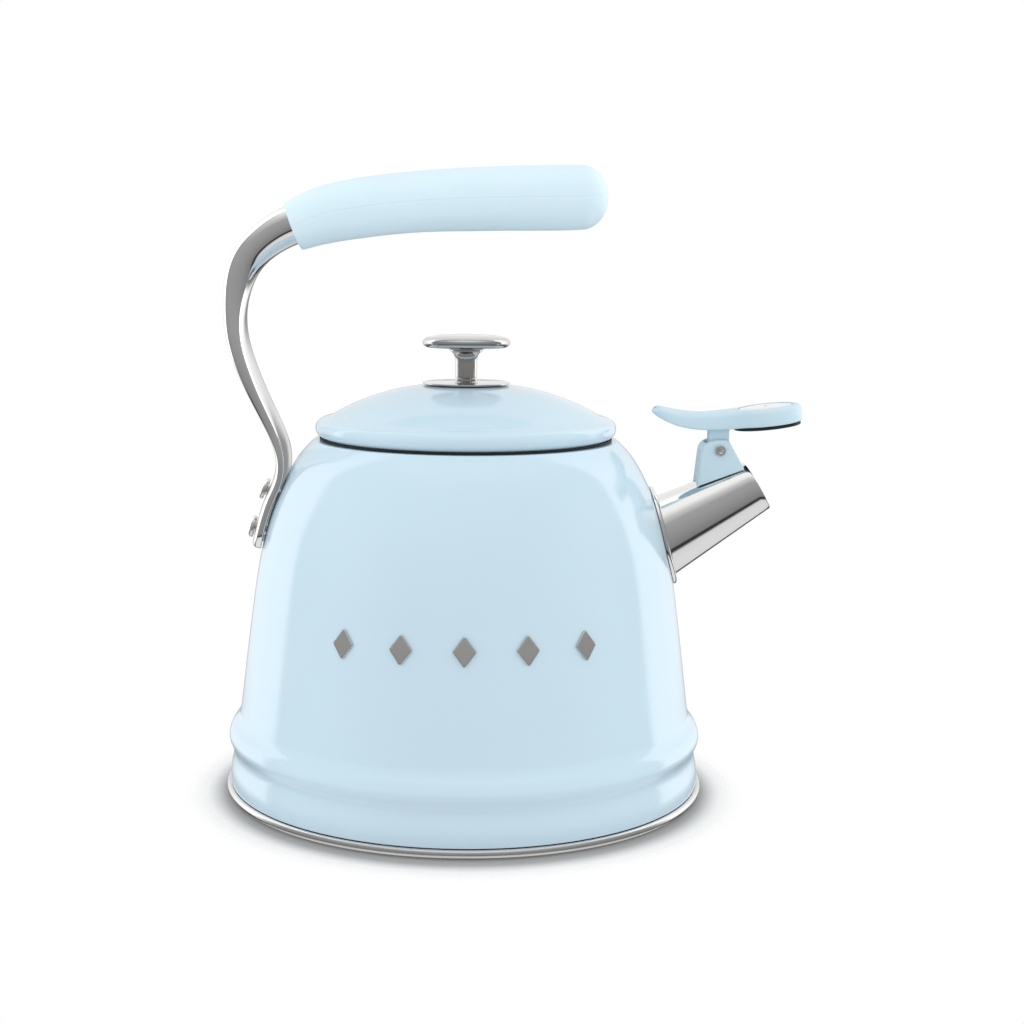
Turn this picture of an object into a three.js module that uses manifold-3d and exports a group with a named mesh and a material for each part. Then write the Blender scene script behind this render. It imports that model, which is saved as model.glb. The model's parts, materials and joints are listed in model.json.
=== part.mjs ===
// Stovetop whistling kettle: an enamelled steel vessel with a lift-off lid, a riveted side handle
// with a plastic grip, and a tapered steel spout whose mouth is closed by a hinged whistle.
// Millimetres, +Z up. The origin is the centre of the underside and the spout points along +X.
import * as THREE from 'three';
import { mergeVertices } from 'three/addons/utils/BufferGeometryUtils.js';
import Module from 'manifold-3d';

const wasm = await Module();
wasm.setup();

// ---- Driving dimensions ----

const FIT = 0.3; // gap between pieces that touch
const WALL = 1.2; // enamelled steel of vessel and lid
const SHEET = 1.0; // bare steel sheet

// Vessel
const FOOT_R = 92.2; // outer radius of the wall at its foot
const SEAT_Z = 137.3; // height of the lid seat
const MOUTH_R = 50; // filling hole
const SEAT_R = MOUTH_R + 8.8; // outer edge of the level seat that the lid rests on
const COLLAR_DEPTH = 4; // how far the filling hole's edge is turned down
const FOOT_Z = 3.5; // lower edge of the wall
const RIB_Z = 22.1; // crest of the raised band above the foot
const RIB_OUT = 0.6; // crest of the band beyond the foot radius
const GROOVE_IN = 1.1; // shallow groove between foot and band
const WAIST_Z = 33.6; // where the plain wall begins
const WAIST_IN = 4.2; // how far the plain wall is set in there

// Base
const RIM_R = FOOT_R + 1.7; // rounded steel rim that the wall stands on
const RIM_BOTTOM = 0.1;
const FLOOR_Z = 5.2; // underside of the vessel floor
const PAN_UPSTAND = 8; // top of the pan's lip inside the wall
const BASE_CAP_R = FOOT_R - 6.8; // cover of the heat-spreading core, the face it rests on
const BASE_CAP_LIP = FLOOR_Z - 0.7; // top of the cover's turned-up edge

// Lid
const LID_R = SEAT_R - 0.4; // widest radius of the rolled edge
const LID_TOP_Z = SEAT_Z + 21.2;
const CREASE_R = LID_R - 6.1; // where the dome meets the rolled edge
const CREASE_LIFT = 4.3; // crease above the middle of the rolled edge
const ROLL_R = 3.5; // radius of the rolled edge
const GASKET_H = 0.6;
const SKIRT_DROP = 4.6; // depth of the lid pan below the seat
const SKIRT_PLAY = 1.2; // play of the lid pan in the filling hole

// Knob
const KNOB_R = 16.9;
const KNOB_CAP_Z = LID_TOP_Z + 13.8; // underside of the cap
const KNOB_CAP_H = 5.4;
const KNOB_PLATE_H = 0.6;
const STEM_R = 4.2;
const STEM_FLARE_R = 6.5;
const COLLAR_H = 1.1; // ring between plate and stem
const SCREW_R = 2;

// Spout
const SPOUT_Z = SEAT_Z - 37.3; // height at which the spout's axis meets the wall
const SPOUT_LENGTH = 40.8; // along the axis, wall to mouth
const SPOUT_RISE = THREE.MathUtils.degToRad(29); // axis above the horizontal
const MOUTH_RISE = THREE.MathUtils.degToRad(31); // way the cut mouth faces
const SPOUT_TIP_R = 10.3;
const SPOUT_ROOT_R = 15.26;
const FLANGE_T = 1.3;
const FLANGE_HALF_H = SPOUT_ROOT_R + 4.44;
const FLANGE_HALF_W = SPOUT_ROOT_R + 3.34;

// Whistle, laid out from its pivot with the disc level
const DISC_R = SPOUT_TIP_R + 3.3;
const DISC_OUT = 20; // pivot to the disc's centre, along the disc
const DISC_H = 7;
const DISC_TILT = THREE.MathUtils.degToRad(7); // rise of the open disc away from the vessel
const SEAL_H = 1;
const SEAL_R = DISC_R - 0.7;
const SEAL_HOLE_R = 5.5;
const SEAL_OFFSET = 6.45; // lower face of the seal above the pivot
const LEVER_HALF_W = 7.5;
const INLAY_R = DISC_R - 3.4;
const WHISTLE_HOLE_R = 1.6;
const CHAMBER_R = INLAY_R - 2.2; // whistle chamber under the inlay
const STEM_HALF_W = 4.05; // lever stem, across the kettle
const STEM_END_R = 3.8;
const PIN_R = 1.5;
const PIN_HEAD_R = 2.1;
const BRACKET_HALF_W = 6.5;
const BRACKET_SLOT_PLAY = 0.25;
const BRACKET_FRONT = 1.9; // its lower corners, back from the mouth along the spout
const BRACKET_BACK = 21.7;

// Handle
const FOOT_TOP = -22.7; // top of the handle's foot, from the lid seat
const FOOT_END = -42.2; // lower end of the foot, from the lid seat
const STRAP_T = 3.3;
const STRAP_W = 32.5;
const FOOT_SLACK = 0.5; // the foot's bend is a little flatter than the wall's
const BAR_D = 15.4; // round bar at the grip
const RIVETS_UP = [-22.2, -36.3]; // from the lid seat
const RIVET_R = 2.2;
const RIVET_HEAD_R = 4.3;
const RIVET_HEAD_H = 2.2;
const BACKING_T = 1.5;
const HEAD_SLACK = 0.3; // room under flat heads and sheets for the wall's bend
const GRIP_WIDEN = 1.06; // grip width over its height

// Trim studs on the front of the wall
const STUD_COUNT = 5;
const STUD_PITCH = THREE.MathUtils.degToRad(15.5);
const STUD_Z = 71.6;
const STUD_HALF_W = 4.2;
const STUD_HALF_H = 5.6;
const STUD_T = 0.5;

const SIDES = 40;
const SMALL_SIDES = 20;
const DISC_SIDES = 32;

// ---- Finishes ----

const finish = (color, roughness, metalness) => (
  new THREE.MeshStandardMaterial({ color, roughness, metalness })
);
const enamel = finish(0xc7dfeb, 0.18, 0);
const bluePlastic = finish(0xbfdcea, 0.4, 0);
const polishedSteel = finish(0xc4c4c2, 0.12, 1);
const brushedSteel = finish(0xb4b2ae, 0.35, 1);
const aluminium = finish(0xa8a8a8, 0.5, 1);
const blackRubber = finish(0x1c1d1f, 0.7, 0);

// ---- Geometry helpers ----

// A closed geometry as a solid that can be joined and cut, with its faces pointing out.
function solid(geometry) {
  geometry.deleteAttribute('normal');
  geometry.deleteAttribute('uv');
  const merged = mergeVertices(geometry, 1e-4);
  const corner = new THREE.Vector3();
  const place = (i) => corner.fromBufferAttribute(merged.attributes.position, i).clone();
  const index = merged.index.array;
  const triangles = [];
  let volume = 0;
  for (let i = 0; i < index.length; i += 3) {
    const [a, b, c] = index.slice(i, i + 3);
    if (a !== b && b !== c && c !== a) {
      triangles.push([a, b, c]);
      volume += place(a).dot(place(b).cross(place(c)));
    }
  }
  const outward = triangles.map(([a, b, c]) => (volume < 0 ? [a, c, b] : [a, b, c]));
  return new wasm.Manifold(new wasm.Mesh({
    numProp: 3,
    vertProperties: merged.attributes.position.array,
    triVerts: new Uint32Array(outward.flat()),
  }));
}

// The first shape less all the others.
function cut(shape, ...tools) {
  return tools.reduce((left, tool) => left.subtract(tool), shape);
}

// Solid of revolution about Z from [radius, height] points; an outline off the axis is closed.
function turned(outline, sides = SIDES) {
  const points = outline.map(([r, z]) => new THREE.Vector2(r, z));
  if (outline[0][0] > 0) {
    points.push(points[0].clone());
  }
  return solid(new THREE.LatheGeometry(points, sides).rotateX(Math.PI / 2));
}

// Plain disc or ring about Z.
function ring(inner, outer, low, high, sides = SIDES) {
  if (inner === 0) {
    return turned([[0, low], [outer, low], [outer, high], [0, high]], sides);
  }
  return turned([[inner, low], [outer, low], [outer, high], [inner, high]], sides);
}

// Side outline in the XZ plane, as deep as half on either side of it.
function sidePlate(shape, half) {
  const across = { depth: 2 * half, bevelEnabled: false, curveSegments: 7 };
  return solid(new THREE.ExtrudeGeometry(shape, across).rotateX(Math.PI / 2).translate(0, half, 0));
}

// Plan outline in the XY plane between two heights.
function planPlate(shape, low, high) {
  const upward = { depth: high - low, bevelEnabled: false, curveSegments: 7 };
  return solid(new THREE.ExtrudeGeometry(shape, upward).translate(0, 0, low));
}

// Round or tapered rod from one point to another.
function rod(from, to, fromR, toR = fromR, sides = SMALL_SIDES) {
  const along = to.clone().sub(from);
  const geometry = new THREE.CylinderGeometry(toR, fromR, along.length(), sides);
  const turn = new THREE.Quaternion().setFromUnitVectors(
    new THREE.Vector3(0, 1, 0),
    along.clone().normalize(),
  );
  const middle = from.clone().addScaledVector(along, 0.5);
  return solid(geometry.applyQuaternion(turn).translate(middle.x, middle.y, middle.z));
}

// Closed skin through rings of equally many points, with flat ends.
function lofted(rings) {
  const count = rings[0].length;
  const last = (rings.length - 1) * count;
  const index = [];
  for (let i = 0; i < last; i += count) {
    for (let j = 0; j < count; j += 1) {
      const a = i + j;
      const b = i + ((j + 1) % count);
      index.push(a, b, b + count, a, b + count, a + count);
    }
  }
  for (let j = 1; j + 1 < count; j += 1) {
    index.push(0, j + 1, j, last, last + j, last + j + 1);
  }
  const geometry = new THREE.BufferGeometry().setFromPoints(rings.flat());
  geometry.setIndex(index);
  return solid(geometry);
}

// Points of an arc in an outline, as [radius, height] pairs, with angles in degrees.
function arc(r, z, radius, from, to, steps) {
  return Array.from({ length: steps + 1 }, (_, i) => {
    const angle = THREE.MathUtils.degToRad(from + ((to - from) * i) / steps);
    return [r + radius * Math.cos(angle), z + radius * Math.sin(angle)];
  });
}

function named(name, shape, material) {
  const mesh = shape.getMesh();
  const geometry = new THREE.BufferGeometry();
  geometry.setAttribute('position', new THREE.BufferAttribute(mesh.vertProperties, 3));
  geometry.setIndex(new THREE.BufferAttribute(mesh.triVerts, 1));
  geometry.computeVertexNormals();
  const piece = new THREE.Mesh(geometry, material);
  piece.name = name;
  return piece;
}

// A point in the kettle's middle plane.
const at = (x, z, y = 0) => new THREE.Vector3(x, y, z);

// ---- Vessel wall ----

// Outer line of the wall from foot to lid seat. Above the waist each pair is the share of the
// way in to the seat's edge and the share of the way up to it.
function wallCurve() {
  const waistR = FOOT_R - WAIST_IN;
  const foot = [
    [FOOT_R, FOOT_Z],
    [FOOT_R, (FOOT_Z + RIB_Z) / 3],
    [FOOT_R - GROOVE_IN, RIB_Z - 6],
    [FOOT_R + RIB_OUT, RIB_Z - 0.6],
    [FOOT_R + RIB_OUT - 1.1, RIB_Z + 3.4],
    [waistR + 1.3, RIB_Z + 6.7],
  ];
  const shares = [[0, 0], [0.12, 0.27], [0.264, 0.55], [0.425, 0.738], [0.551, 0.815]];
  shares.push([0.712, 0.91], [0.84, 0.968], [1, 1]);
  const upper = shares.map(([inward, upward]) => (
    [waistR + (SEAT_R - waistR) * inward, WAIST_Z + (SEAT_Z - WAIST_Z) * upward]
  ));
  return new THREE.SplineCurve([...foot, ...upper].map(([r, z]) => new THREE.Vector2(r, z)));
}

const WALL_CURVE = wallCurve();
const WALL_SPANS = WALL_CURVE.points.length - 1;

// The wall line moved outwards by a distance.
function wallLine(offset, perSpan) {
  const steps = WALL_SPANS * perSpan;
  return Array.from({ length: steps + 1 }, (_, i) => {
    const point = WALL_CURVE.getPoint(i / steps);
    const way = WALL_CURVE.getTangent(i / steps);
    return [point.x + offset * way.y, point.y - offset * way.x];
  });
}

// Outer radius of the wall at a height.
function wallRadius(height) {
  const line = wallLine(0, 8);
  const above = line.findIndex(([, z]) => z >= height);
  const [[r0, z0], [r1, z1]] = [line[above - 1], line[above]];
  return r0 + ((r1 - r0) * (height - z0)) / (z1 - z0);
}

// Slope of the wall about a height, as the tilt of its outward normal above the horizontal.
function wallTilt(height, reach = 2) {
  return Math.atan2(wallRadius(height - reach) - wallRadius(height + reach), 2 * reach);
}

// Solid block that fills the wall line moved outwards by a distance.
function vesselBlock(offset) {
  const line = wallLine(offset, 2);
  return turned([[0, line[0][1]], ...line, [0, line[line.length - 1][1]]]);
}

// Curved sheet that follows the wall between two distances from it.
function wallSheet(near, far) {
  return cut(vesselBlock(far), vesselBlock(near));
}

// ---- Places that several pieces share ----

const SPOUT_WAY = at(Math.cos(SPOUT_RISE), Math.sin(SPOUT_RISE));
const MOUTH_WAY = at(Math.cos(MOUTH_RISE), Math.sin(MOUTH_RISE));
const MOUTH_DOWN = at(Math.sin(MOUTH_RISE), -Math.cos(MOUTH_RISE));
const SPOUT_ROOT = at(wallRadius(SPOUT_Z), SPOUT_Z);
const MOUTH = SPOUT_ROOT.clone().addScaledVector(SPOUT_WAY, SPOUT_LENGTH);
const PIVOT = MOUTH.clone()
  .addScaledVector(MOUTH_WAY, FIT - SEAL_OFFSET)
  .addScaledVector(MOUTH_DOWN, -DISC_OUT - 0.2);
const SPOUT_TAPER = (SPOUT_ROOT_R - SPOUT_TIP_R) / SPOUT_LENGTH;
const ROOT_REACH = 12; // spout cone carried on inside the wall before it is trimmed

// Cone of the spout, grown by a distance and made longer at both ends.
function spoutCone(growth, extra = 0) {
  const inner = ROOT_REACH + extra;
  const outer = 4 + extra;
  const from = SPOUT_ROOT.clone().addScaledVector(SPOUT_WAY, -inner);
  const to = MOUTH.clone().addScaledVector(SPOUT_WAY, outer);
  const fromR = SPOUT_ROOT_R + SPOUT_TAPER * inner + growth;
  const toR = SPOUT_TIP_R - SPOUT_TAPER * outer + growth;
  return rod(from, to, fromR, toR, SIDES);
}

// Outward direction at a rivet, square to the wall under it.
function rivetWay(up) {
  const tilt = wallTilt(SEAT_Z + up, RIVET_HEAD_R + 3);
  return at(-Math.cos(tilt), Math.sin(tilt));
}

// Point of the wall's outer face under a rivet.
function rivetPlace(up) {
  const height = SEAT_Z + up;
  return at(-wallRadius(height), height);
}

// Hole for a rivet through everything that it holds.
function rivetHole(up) {
  const reach = 12;
  const way = rivetWay(up);
  const place = rivetPlace(up);
  return rod(
    place.clone().addScaledVector(way, -reach),
    place.clone().addScaledVector(way, reach),
    RIVET_R + FIT,
  );
}

// ---- Vessel pieces ----

function bodyShell() {
  const inside = wallLine(-WALL, 1).reverse();
  const collarZ = SEAT_Z - COLLAR_DEPTH;
  const shell = turned([
    ...wallLine(0, 2),
    [MOUTH_R + WALL, SEAT_Z],
    [MOUTH_R, SEAT_Z - WALL],
    [MOUTH_R, collarZ],
    [MOUTH_R + WALL, collarZ],
    [MOUTH_R + WALL, SEAT_Z - WALL],
    ...inside,
  ]);
  const pourHole = rod(
    SPOUT_ROOT.clone().addScaledVector(SPOUT_WAY, -ROOT_REACH),
    SPOUT_ROOT.clone().addScaledVector(SPOUT_WAY, ROOT_REACH),
    SPOUT_ROOT_R - WALL,
    SPOUT_ROOT_R - WALL,
    SIDES,
  );
  return cut(shell, pourHole, ...RIVETS_UP.map(rivetHole));
}

function basePan() {
  const lipR = FOOT_R - WALL - 0.4;
  const edgeR = (FOOT_Z - FIT - RIM_BOTTOM) / 2;
  const recessR = BASE_CAP_R + 0.6;
  return turned([
    [0, FLOOR_Z],
    [recessR, FLOOR_Z],
    [recessR + 0.8, RIM_BOTTOM],
    ...arc(RIM_R - edgeR, RIM_BOTTOM + edgeR, edgeR, -90, 90, 5),
    [lipR, FOOT_Z - FIT],
    [lipR, PAN_UPSTAND],
    [lipR - SHEET, PAN_UPSTAND],
    [lipR - SHEET - 1, FLOOR_Z + SHEET],
    [0, FLOOR_Z + SHEET],
  ]);
}

function baseCore() {
  return ring(0, BASE_CAP_R - SHEET - FIT, SHEET + FIT, FLOOR_Z - FIT);
}

function baseCap() {
  return turned([
    [0, 0],
    [BASE_CAP_R - 1, 0],
    [BASE_CAP_R, 1],
    [BASE_CAP_R, BASE_CAP_LIP],
    [BASE_CAP_R - SHEET, BASE_CAP_LIP],
    [BASE_CAP_R - SHEET, SHEET],
    [0, SHEET],
  ]);
}

// One lozenge of the trim row, following the wall.
function trimStud(turn) {
  const lozenge = new THREE.Shape([
    new THREE.Vector2(-STUD_HALF_W, STUD_Z),
    new THREE.Vector2(0, STUD_Z - STUD_HALF_H),
    new THREE.Vector2(STUD_HALF_W, STUD_Z),
    new THREE.Vector2(0, STUD_Z + STUD_HALF_H),
  ]);
  const depth = { depth: FOOT_R * 1.2, bevelEnabled: false };
  const prism = new THREE.ExtrudeGeometry(lozenge, depth).rotateX(Math.PI / 2).rotateZ(turn);
  return wallSheet(FIT, FIT + STUD_T).intersect(solid(prism));
}

// ---- Lid pieces ----

// Outer line of the lid from its centre out to the underside of the rolled edge.
function lidLine(inward) {
  const rollZ = SEAT_Z + FIT + GASKET_H + FIT + ROLL_R;
  const creaseZ = rollZ + CREASE_LIFT;
  const shares = [[0, 0], [0.2, 0.003], [0.32, 0.03], [0.53, 0.175], [0.72, 0.426], [0.88, 0.705], [1, 1]];
  const dome = new THREE.SplineCurve(shares.map(([outward, down]) => (
    new THREE.Vector2(CREASE_R * outward, LID_TOP_Z - (LID_TOP_Z - creaseZ) * down)
  )));
  const domed = dome.getPoints(8).map(({ x, y }) => [x, y - inward]);
  return [...domed, ...arc(LID_R - ROLL_R, rollZ, ROLL_R - inward, 62, -80, 5)];
}

function lidShell() {
  const shell = turned([...lidLine(0), ...lidLine(WALL).reverse()]);
  return cut(shell, ring(0, SCREW_R + FIT, LID_TOP_Z - 4, LID_TOP_Z + 4, SMALL_SIDES));
}

function lidPan() {
  const skirtR = MOUTH_R - SKIRT_PLAY;
  const seatZ = SEAT_Z + FIT + GASKET_H + FIT;
  const bottom = SEAT_Z - SKIRT_DROP;
  const flangeR = LID_R - ROLL_R - 0.8;
  return turned([
    [0, bottom],
    [skirtR - 1.5, bottom],
    [skirtR, bottom + 1.5],
    [skirtR, seatZ],
    [flangeR, seatZ],
    [flangeR, seatZ + SHEET],
    [skirtR - SHEET, seatZ + SHEET],
    [skirtR - SHEET, bottom + SHEET + 1],
    [skirtR - SHEET - 1, bottom + SHEET],
    [0, bottom + SHEET],
  ]);
}

function lidGasket() {
  const low = SEAT_Z + FIT;
  return ring(MOUTH_R + 0.6, LID_R - 1.6, low, low + GASKET_H);
}

const PLATE_Z = LID_TOP_Z + FIT;
const COLLAR_Z = PLATE_Z + KNOB_PLATE_H + FIT;
const STEM_Z = COLLAR_Z + COLLAR_H + FIT;
const SCREW_TOP = STEM_Z + 6;

// Thin plate that lies on the flat middle of the dome.
function knobPlate() {
  return ring(SCREW_R + FIT, KNOB_R, PLATE_Z, PLATE_Z + KNOB_PLATE_H, 32);
}

function knobCollar() {
  return ring(SCREW_R + FIT, STEM_R + 0.3, COLLAR_Z, COLLAR_Z + COLLAR_H, SMALL_SIDES);
}

function knobStem() {
  const top = KNOB_CAP_Z - FIT;
  const flare = new THREE.QuadraticBezierCurve(
    new THREE.Vector2(STEM_R, top - 5.5),
    new THREE.Vector2(STEM_R, top - 1.2),
    new THREE.Vector2(STEM_FLARE_R, top - 0.6),
  );
  return turned([
    [0, SCREW_TOP + FIT],
    [SCREW_R + FIT, SCREW_TOP + FIT],
    [SCREW_R + FIT, STEM_Z],
    [STEM_R, STEM_Z],
    ...flare.getPoints(5).map(({ x, y }) => [x, y]),
    [STEM_FLARE_R, top],
    [0, top],
  ], SMALL_SIDES);
}

function knobCap() {
  const edge = 1.7;
  const domeH = 1.2;
  const sideTop = KNOB_CAP_Z + KNOB_CAP_H - domeH - edge;
  return turned([
    [0, KNOB_CAP_Z],
    [STEM_FLARE_R + 1, KNOB_CAP_Z],
    [KNOB_R - 4, KNOB_CAP_Z + 0.4],
    ...arc(KNOB_R - edge, KNOB_CAP_Z + 0.6 + edge, edge, -75, 0, 3),
    ...arc(KNOB_R - edge, sideTop, edge, 0, 75, 3),
    [KNOB_R * 0.5, KNOB_CAP_Z + KNOB_CAP_H - 0.4],
    [0, KNOB_CAP_Z + KNOB_CAP_H],
  ], 32);
}

const WASHER_TOP = LID_TOP_Z - WALL - FIT - 0.1; // under the dome, which falls away a little

function knobWasher() {
  return ring(SCREW_R + FIT, 6.5, WASHER_TOP - SHEET, WASHER_TOP, SMALL_SIDES);
}

function knobScrew() {
  const headTop = WASHER_TOP - SHEET - FIT;
  return turned([
    [0, headTop - 2.4],
    [3.4, headTop - 2.4],
    [4.2, headTop - 1.4],
    [4.2, headTop],
    [SCREW_R, headTop],
    [SCREW_R, SCREW_TOP],
    [0, SCREW_TOP],
  ], SMALL_SIDES);
}

// ---- Spout pieces ----

// Block that lies beyond the cut plane of the mouth.
function beyondMouth() {
  const size = 60;
  const middle = MOUTH.clone().addScaledVector(MOUTH_WAY, size / 2);
  const box = new THREE.BoxGeometry(size, size, size).rotateY(-MOUTH_RISE);
  return solid(box.translate(middle.x, middle.y, middle.z));
}

function spoutTube() {
  return cut(spoutCone(0), spoutCone(-WALL, 2), vesselBlock(FIT), beyondMouth());
}

// Oval collar round the foot of the spout, following the wall.
function spoutFlange() {
  const tilt = wallTilt(SPOUT_Z);
  const oval = new THREE.CylinderGeometry(1, 1, 40, 32)
    .scale(FLANGE_HALF_H, 1, FLANGE_HALF_W)
    .rotateZ(-Math.PI / 2 + tilt)
    .translate(SPOUT_ROOT.x, 0, SPOUT_ROOT.z);
  return cut(wallSheet(FIT, FIT + FLANGE_T).intersect(solid(oval)), spoutCone(FIT));
}

// Point on the top of the spout under a cheek of the bracket, from the pivot.
function bracketCorner(back) {
  const tubeR = SPOUT_TIP_R + SPOUT_TAPER * back;
  const lift = Math.sqrt(tubeR ** 2 - BRACKET_HALF_W ** 2);
  const up = at(-SPOUT_WAY.z, SPOUT_WAY.x);
  return MOUTH.clone().addScaledVector(SPOUT_WAY, -back).addScaledVector(up, lift).sub(PIVOT);
}

// Clevis that straddles the spout and carries the whistle's pin.
function whistleBracket() {
  const back = bracketCorner(BRACKET_BACK);
  const front = bracketCorner(BRACKET_FRONT);
  const outline = new THREE.Shape();
  outline.moveTo(back.x, back.z);
  outline.lineTo(front.x, front.z);
  outline.lineTo(3.7, 3.2);
  outline.quadraticCurveTo(3.2, 4.0, 2.2, 4.0);
  outline.lineTo(-1.6, 3.9);
  outline.quadraticCurveTo(-6.3, 3.3, -7.1, 0.2);
  outline.closePath();
  const backWall = -5.4;
  const slotFloor = -STEM_END_R - 0.5;
  const slot = new THREE.Shape();
  slot.moveTo(backWall, 9);
  slot.lineTo(backWall, slotFloor + 2);
  slot.lineTo(backWall + 2, slotFloor);
  slot.lineTo(14, slotFloor);
  slot.lineTo(14, 9);
  slot.closePath();
  const block = cut(
    sidePlate(outline, BRACKET_HALF_W),
    sidePlate(slot, STEM_HALF_W + BRACKET_SLOT_PLAY),
    rod(at(0, 0, -10), at(0, 0, 10), PIN_R + FIT),
  ).translate(PIVOT.toArray());
  return cut(block, spoutCone(FIT));
}

// Turned pin across the bracket, headed at both ends.
function pivotPin() {
  const end = BRACKET_HALF_W + FIT;
  const head = 0.8;
  const pin = new THREE.LatheGeometry([
    new THREE.Vector2(0, -end - head),
    new THREE.Vector2(PIN_HEAD_R - 0.4, -end - head),
    new THREE.Vector2(PIN_HEAD_R, -end - head / 2),
    new THREE.Vector2(PIN_HEAD_R, -end),
    new THREE.Vector2(PIN_R, -end),
    new THREE.Vector2(PIN_R, end),
    new THREE.Vector2(PIN_HEAD_R, end),
    new THREE.Vector2(PIN_HEAD_R, end + head / 2),
    new THREE.Vector2(PIN_HEAD_R - 0.4, end + head),
    new THREE.Vector2(0, end + head),
  ], SMALL_SIDES);
  return solid(pin.translate(PIVOT.x, PIVOT.y, PIVOT.z));
}

// ---- Whistle pieces, in the frame of the pivot with the disc level ----

const DISC_LOW = SEAL_OFFSET + SEAL_H + FIT;
const DISC_TOP = SEAL_OFFSET + SEAL_H + DISC_H;
const INLAY_DEPTH = 1;
const CHAMBER_FLOOR = 3.2; // lower whistle plate above the disc's underside

// Side outline of the lever: thumb tail, neck and disc.
function leverSide() {
  const outline = new THREE.Shape();
  outline.moveTo(DISC_OUT + DISC_R, DISC_LOW + 0.8);
  outline.lineTo(DISC_OUT + DISC_R, DISC_TOP - 1.9);
  outline.quadraticCurveTo(DISC_OUT + DISC_R, DISC_TOP, DISC_OUT + DISC_R - 1.9, DISC_TOP);
  outline.lineTo(DISC_OUT - DISC_R + 2, DISC_TOP);
  outline.bezierCurveTo(0, DISC_TOP, -7, DISC_TOP + 0.3, -16.8, DISC_TOP + 3.6);
  outline.lineTo(-20.9, DISC_TOP + 5);
  outline.quadraticCurveTo(-24.3, DISC_TOP + 5.1, -23.3, DISC_TOP + 3.2);
  outline.bezierCurveTo(-17, DISC_LOW + 4.2, -10, DISC_LOW + 0.3, DISC_OUT - DISC_R, DISC_LOW);
  outline.lineTo(DISC_OUT + DISC_R - 0.8, DISC_LOW);
  outline.closePath();
  return sidePlate(outline, DISC_R + 1);
}

// Plan outline of the lever: a round disc that narrows to the tail.
function leverPlan() {
  const outline = new THREE.Shape();
  const join = THREE.MathUtils.degToRad(132);
  const joinX = DISC_OUT + DISC_R * Math.cos(join);
  const joinY = DISC_R * Math.sin(join);
  outline.absarc(DISC_OUT, 0, DISC_R, -join, join, false);
  outline.quadraticCurveTo(joinX - 4, LEVER_HALF_W, joinX - 9, LEVER_HALF_W);
  outline.lineTo(-18, LEVER_HALF_W);
  outline.quadraticCurveTo(-24, LEVER_HALF_W - 0.5, -24, 0);
  outline.quadraticCurveTo(-24, -LEVER_HALF_W + 0.5, -18, -LEVER_HALF_W);
  outline.lineTo(joinX - 9, -LEVER_HALF_W);
  outline.quadraticCurveTo(joinX - 4, -LEVER_HALF_W, joinX, -joinY);
  return planPlate(outline, 0, DISC_TOP + 8);
}

// Upright stem of the lever, round at the pin.
function leverStem() {
  const top = SEAL_OFFSET + SEAL_H + 2;
  const stem = new THREE.Shape();
  stem.absarc(0, 0, STEM_END_R, Math.PI, 2 * Math.PI, false);
  stem.lineTo(STEM_END_R, top);
  stem.lineTo(-STEM_END_R, top);
  stem.closePath();
  const across = { depth: 2 * STEM_HALF_W, bevelEnabled: false, curveSegments: 8 };
  const geometry = new THREE.ExtrudeGeometry(stem, across).rotateX(Math.PI / 2);
  return solid(geometry.translate(0, STEM_HALF_W, 0).rotateY(DISC_TILT));
}

// Disc or ring of the whistle about the disc's centre.
function whistleRing(inner, outer, low, high) {
  return ring(inner, outer, low, high, DISC_SIDES).translate([DISC_OUT, 0, 0]);
}

function whistleLever() {
  const head = leverSide().intersect(leverPlan()).add(leverStem());
  return cut(
    head,
    whistleRing(0, CHAMBER_R, 0, DISC_TOP + 1),
    whistleRing(0, CHAMBER_R + 1.2, DISC_LOW + CHAMBER_FLOOR, DISC_TOP + 1),
    whistleRing(0, INLAY_R + FIT, DISC_TOP - INLAY_DEPTH, DISC_TOP + 1),
    rod(at(0, 0, -10), at(0, 0, 10), PIN_R + FIT),
  );
}

function whistleInlay() {
  const low = DISC_TOP - INLAY_DEPTH + FIT;
  return turned([
    [WHISTLE_HOLE_R, low],
    [INLAY_R, low],
    [INLAY_R, low + SHEET * 0.6],
    [WHISTLE_HOLE_R, low + SHEET],
  ], DISC_SIDES).translate([DISC_OUT, 0, 0]);
}

function whistlePlate() {
  const low = DISC_LOW + CHAMBER_FLOOR + FIT;
  return whistleRing(WHISTLE_HOLE_R, CHAMBER_R + 1.2 - FIT, low, low + SHEET * 0.6);
}

function whistleSeal() {
  return whistleRing(SEAL_HOLE_R, SEAL_R, SEAL_OFFSET, SEAL_OFFSET + SEAL_H);
}

function whistleSet() {
  const whistle = new THREE.Group();
  whistle.add(
    named('whistle_lever', whistleLever(), bluePlastic),
    named('whistle_inlay', whistleInlay(), brushedSteel),
    named('whistle_plate', whistlePlate(), brushedSteel),
    named('whistle_seal', whistleSeal(), blackRubber),
  );
  whistle.position.copy(PIVOT);
  whistle.rotation.y = -DISC_TILT;
  return whistle;
}

// ---- Handle pieces ----

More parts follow.
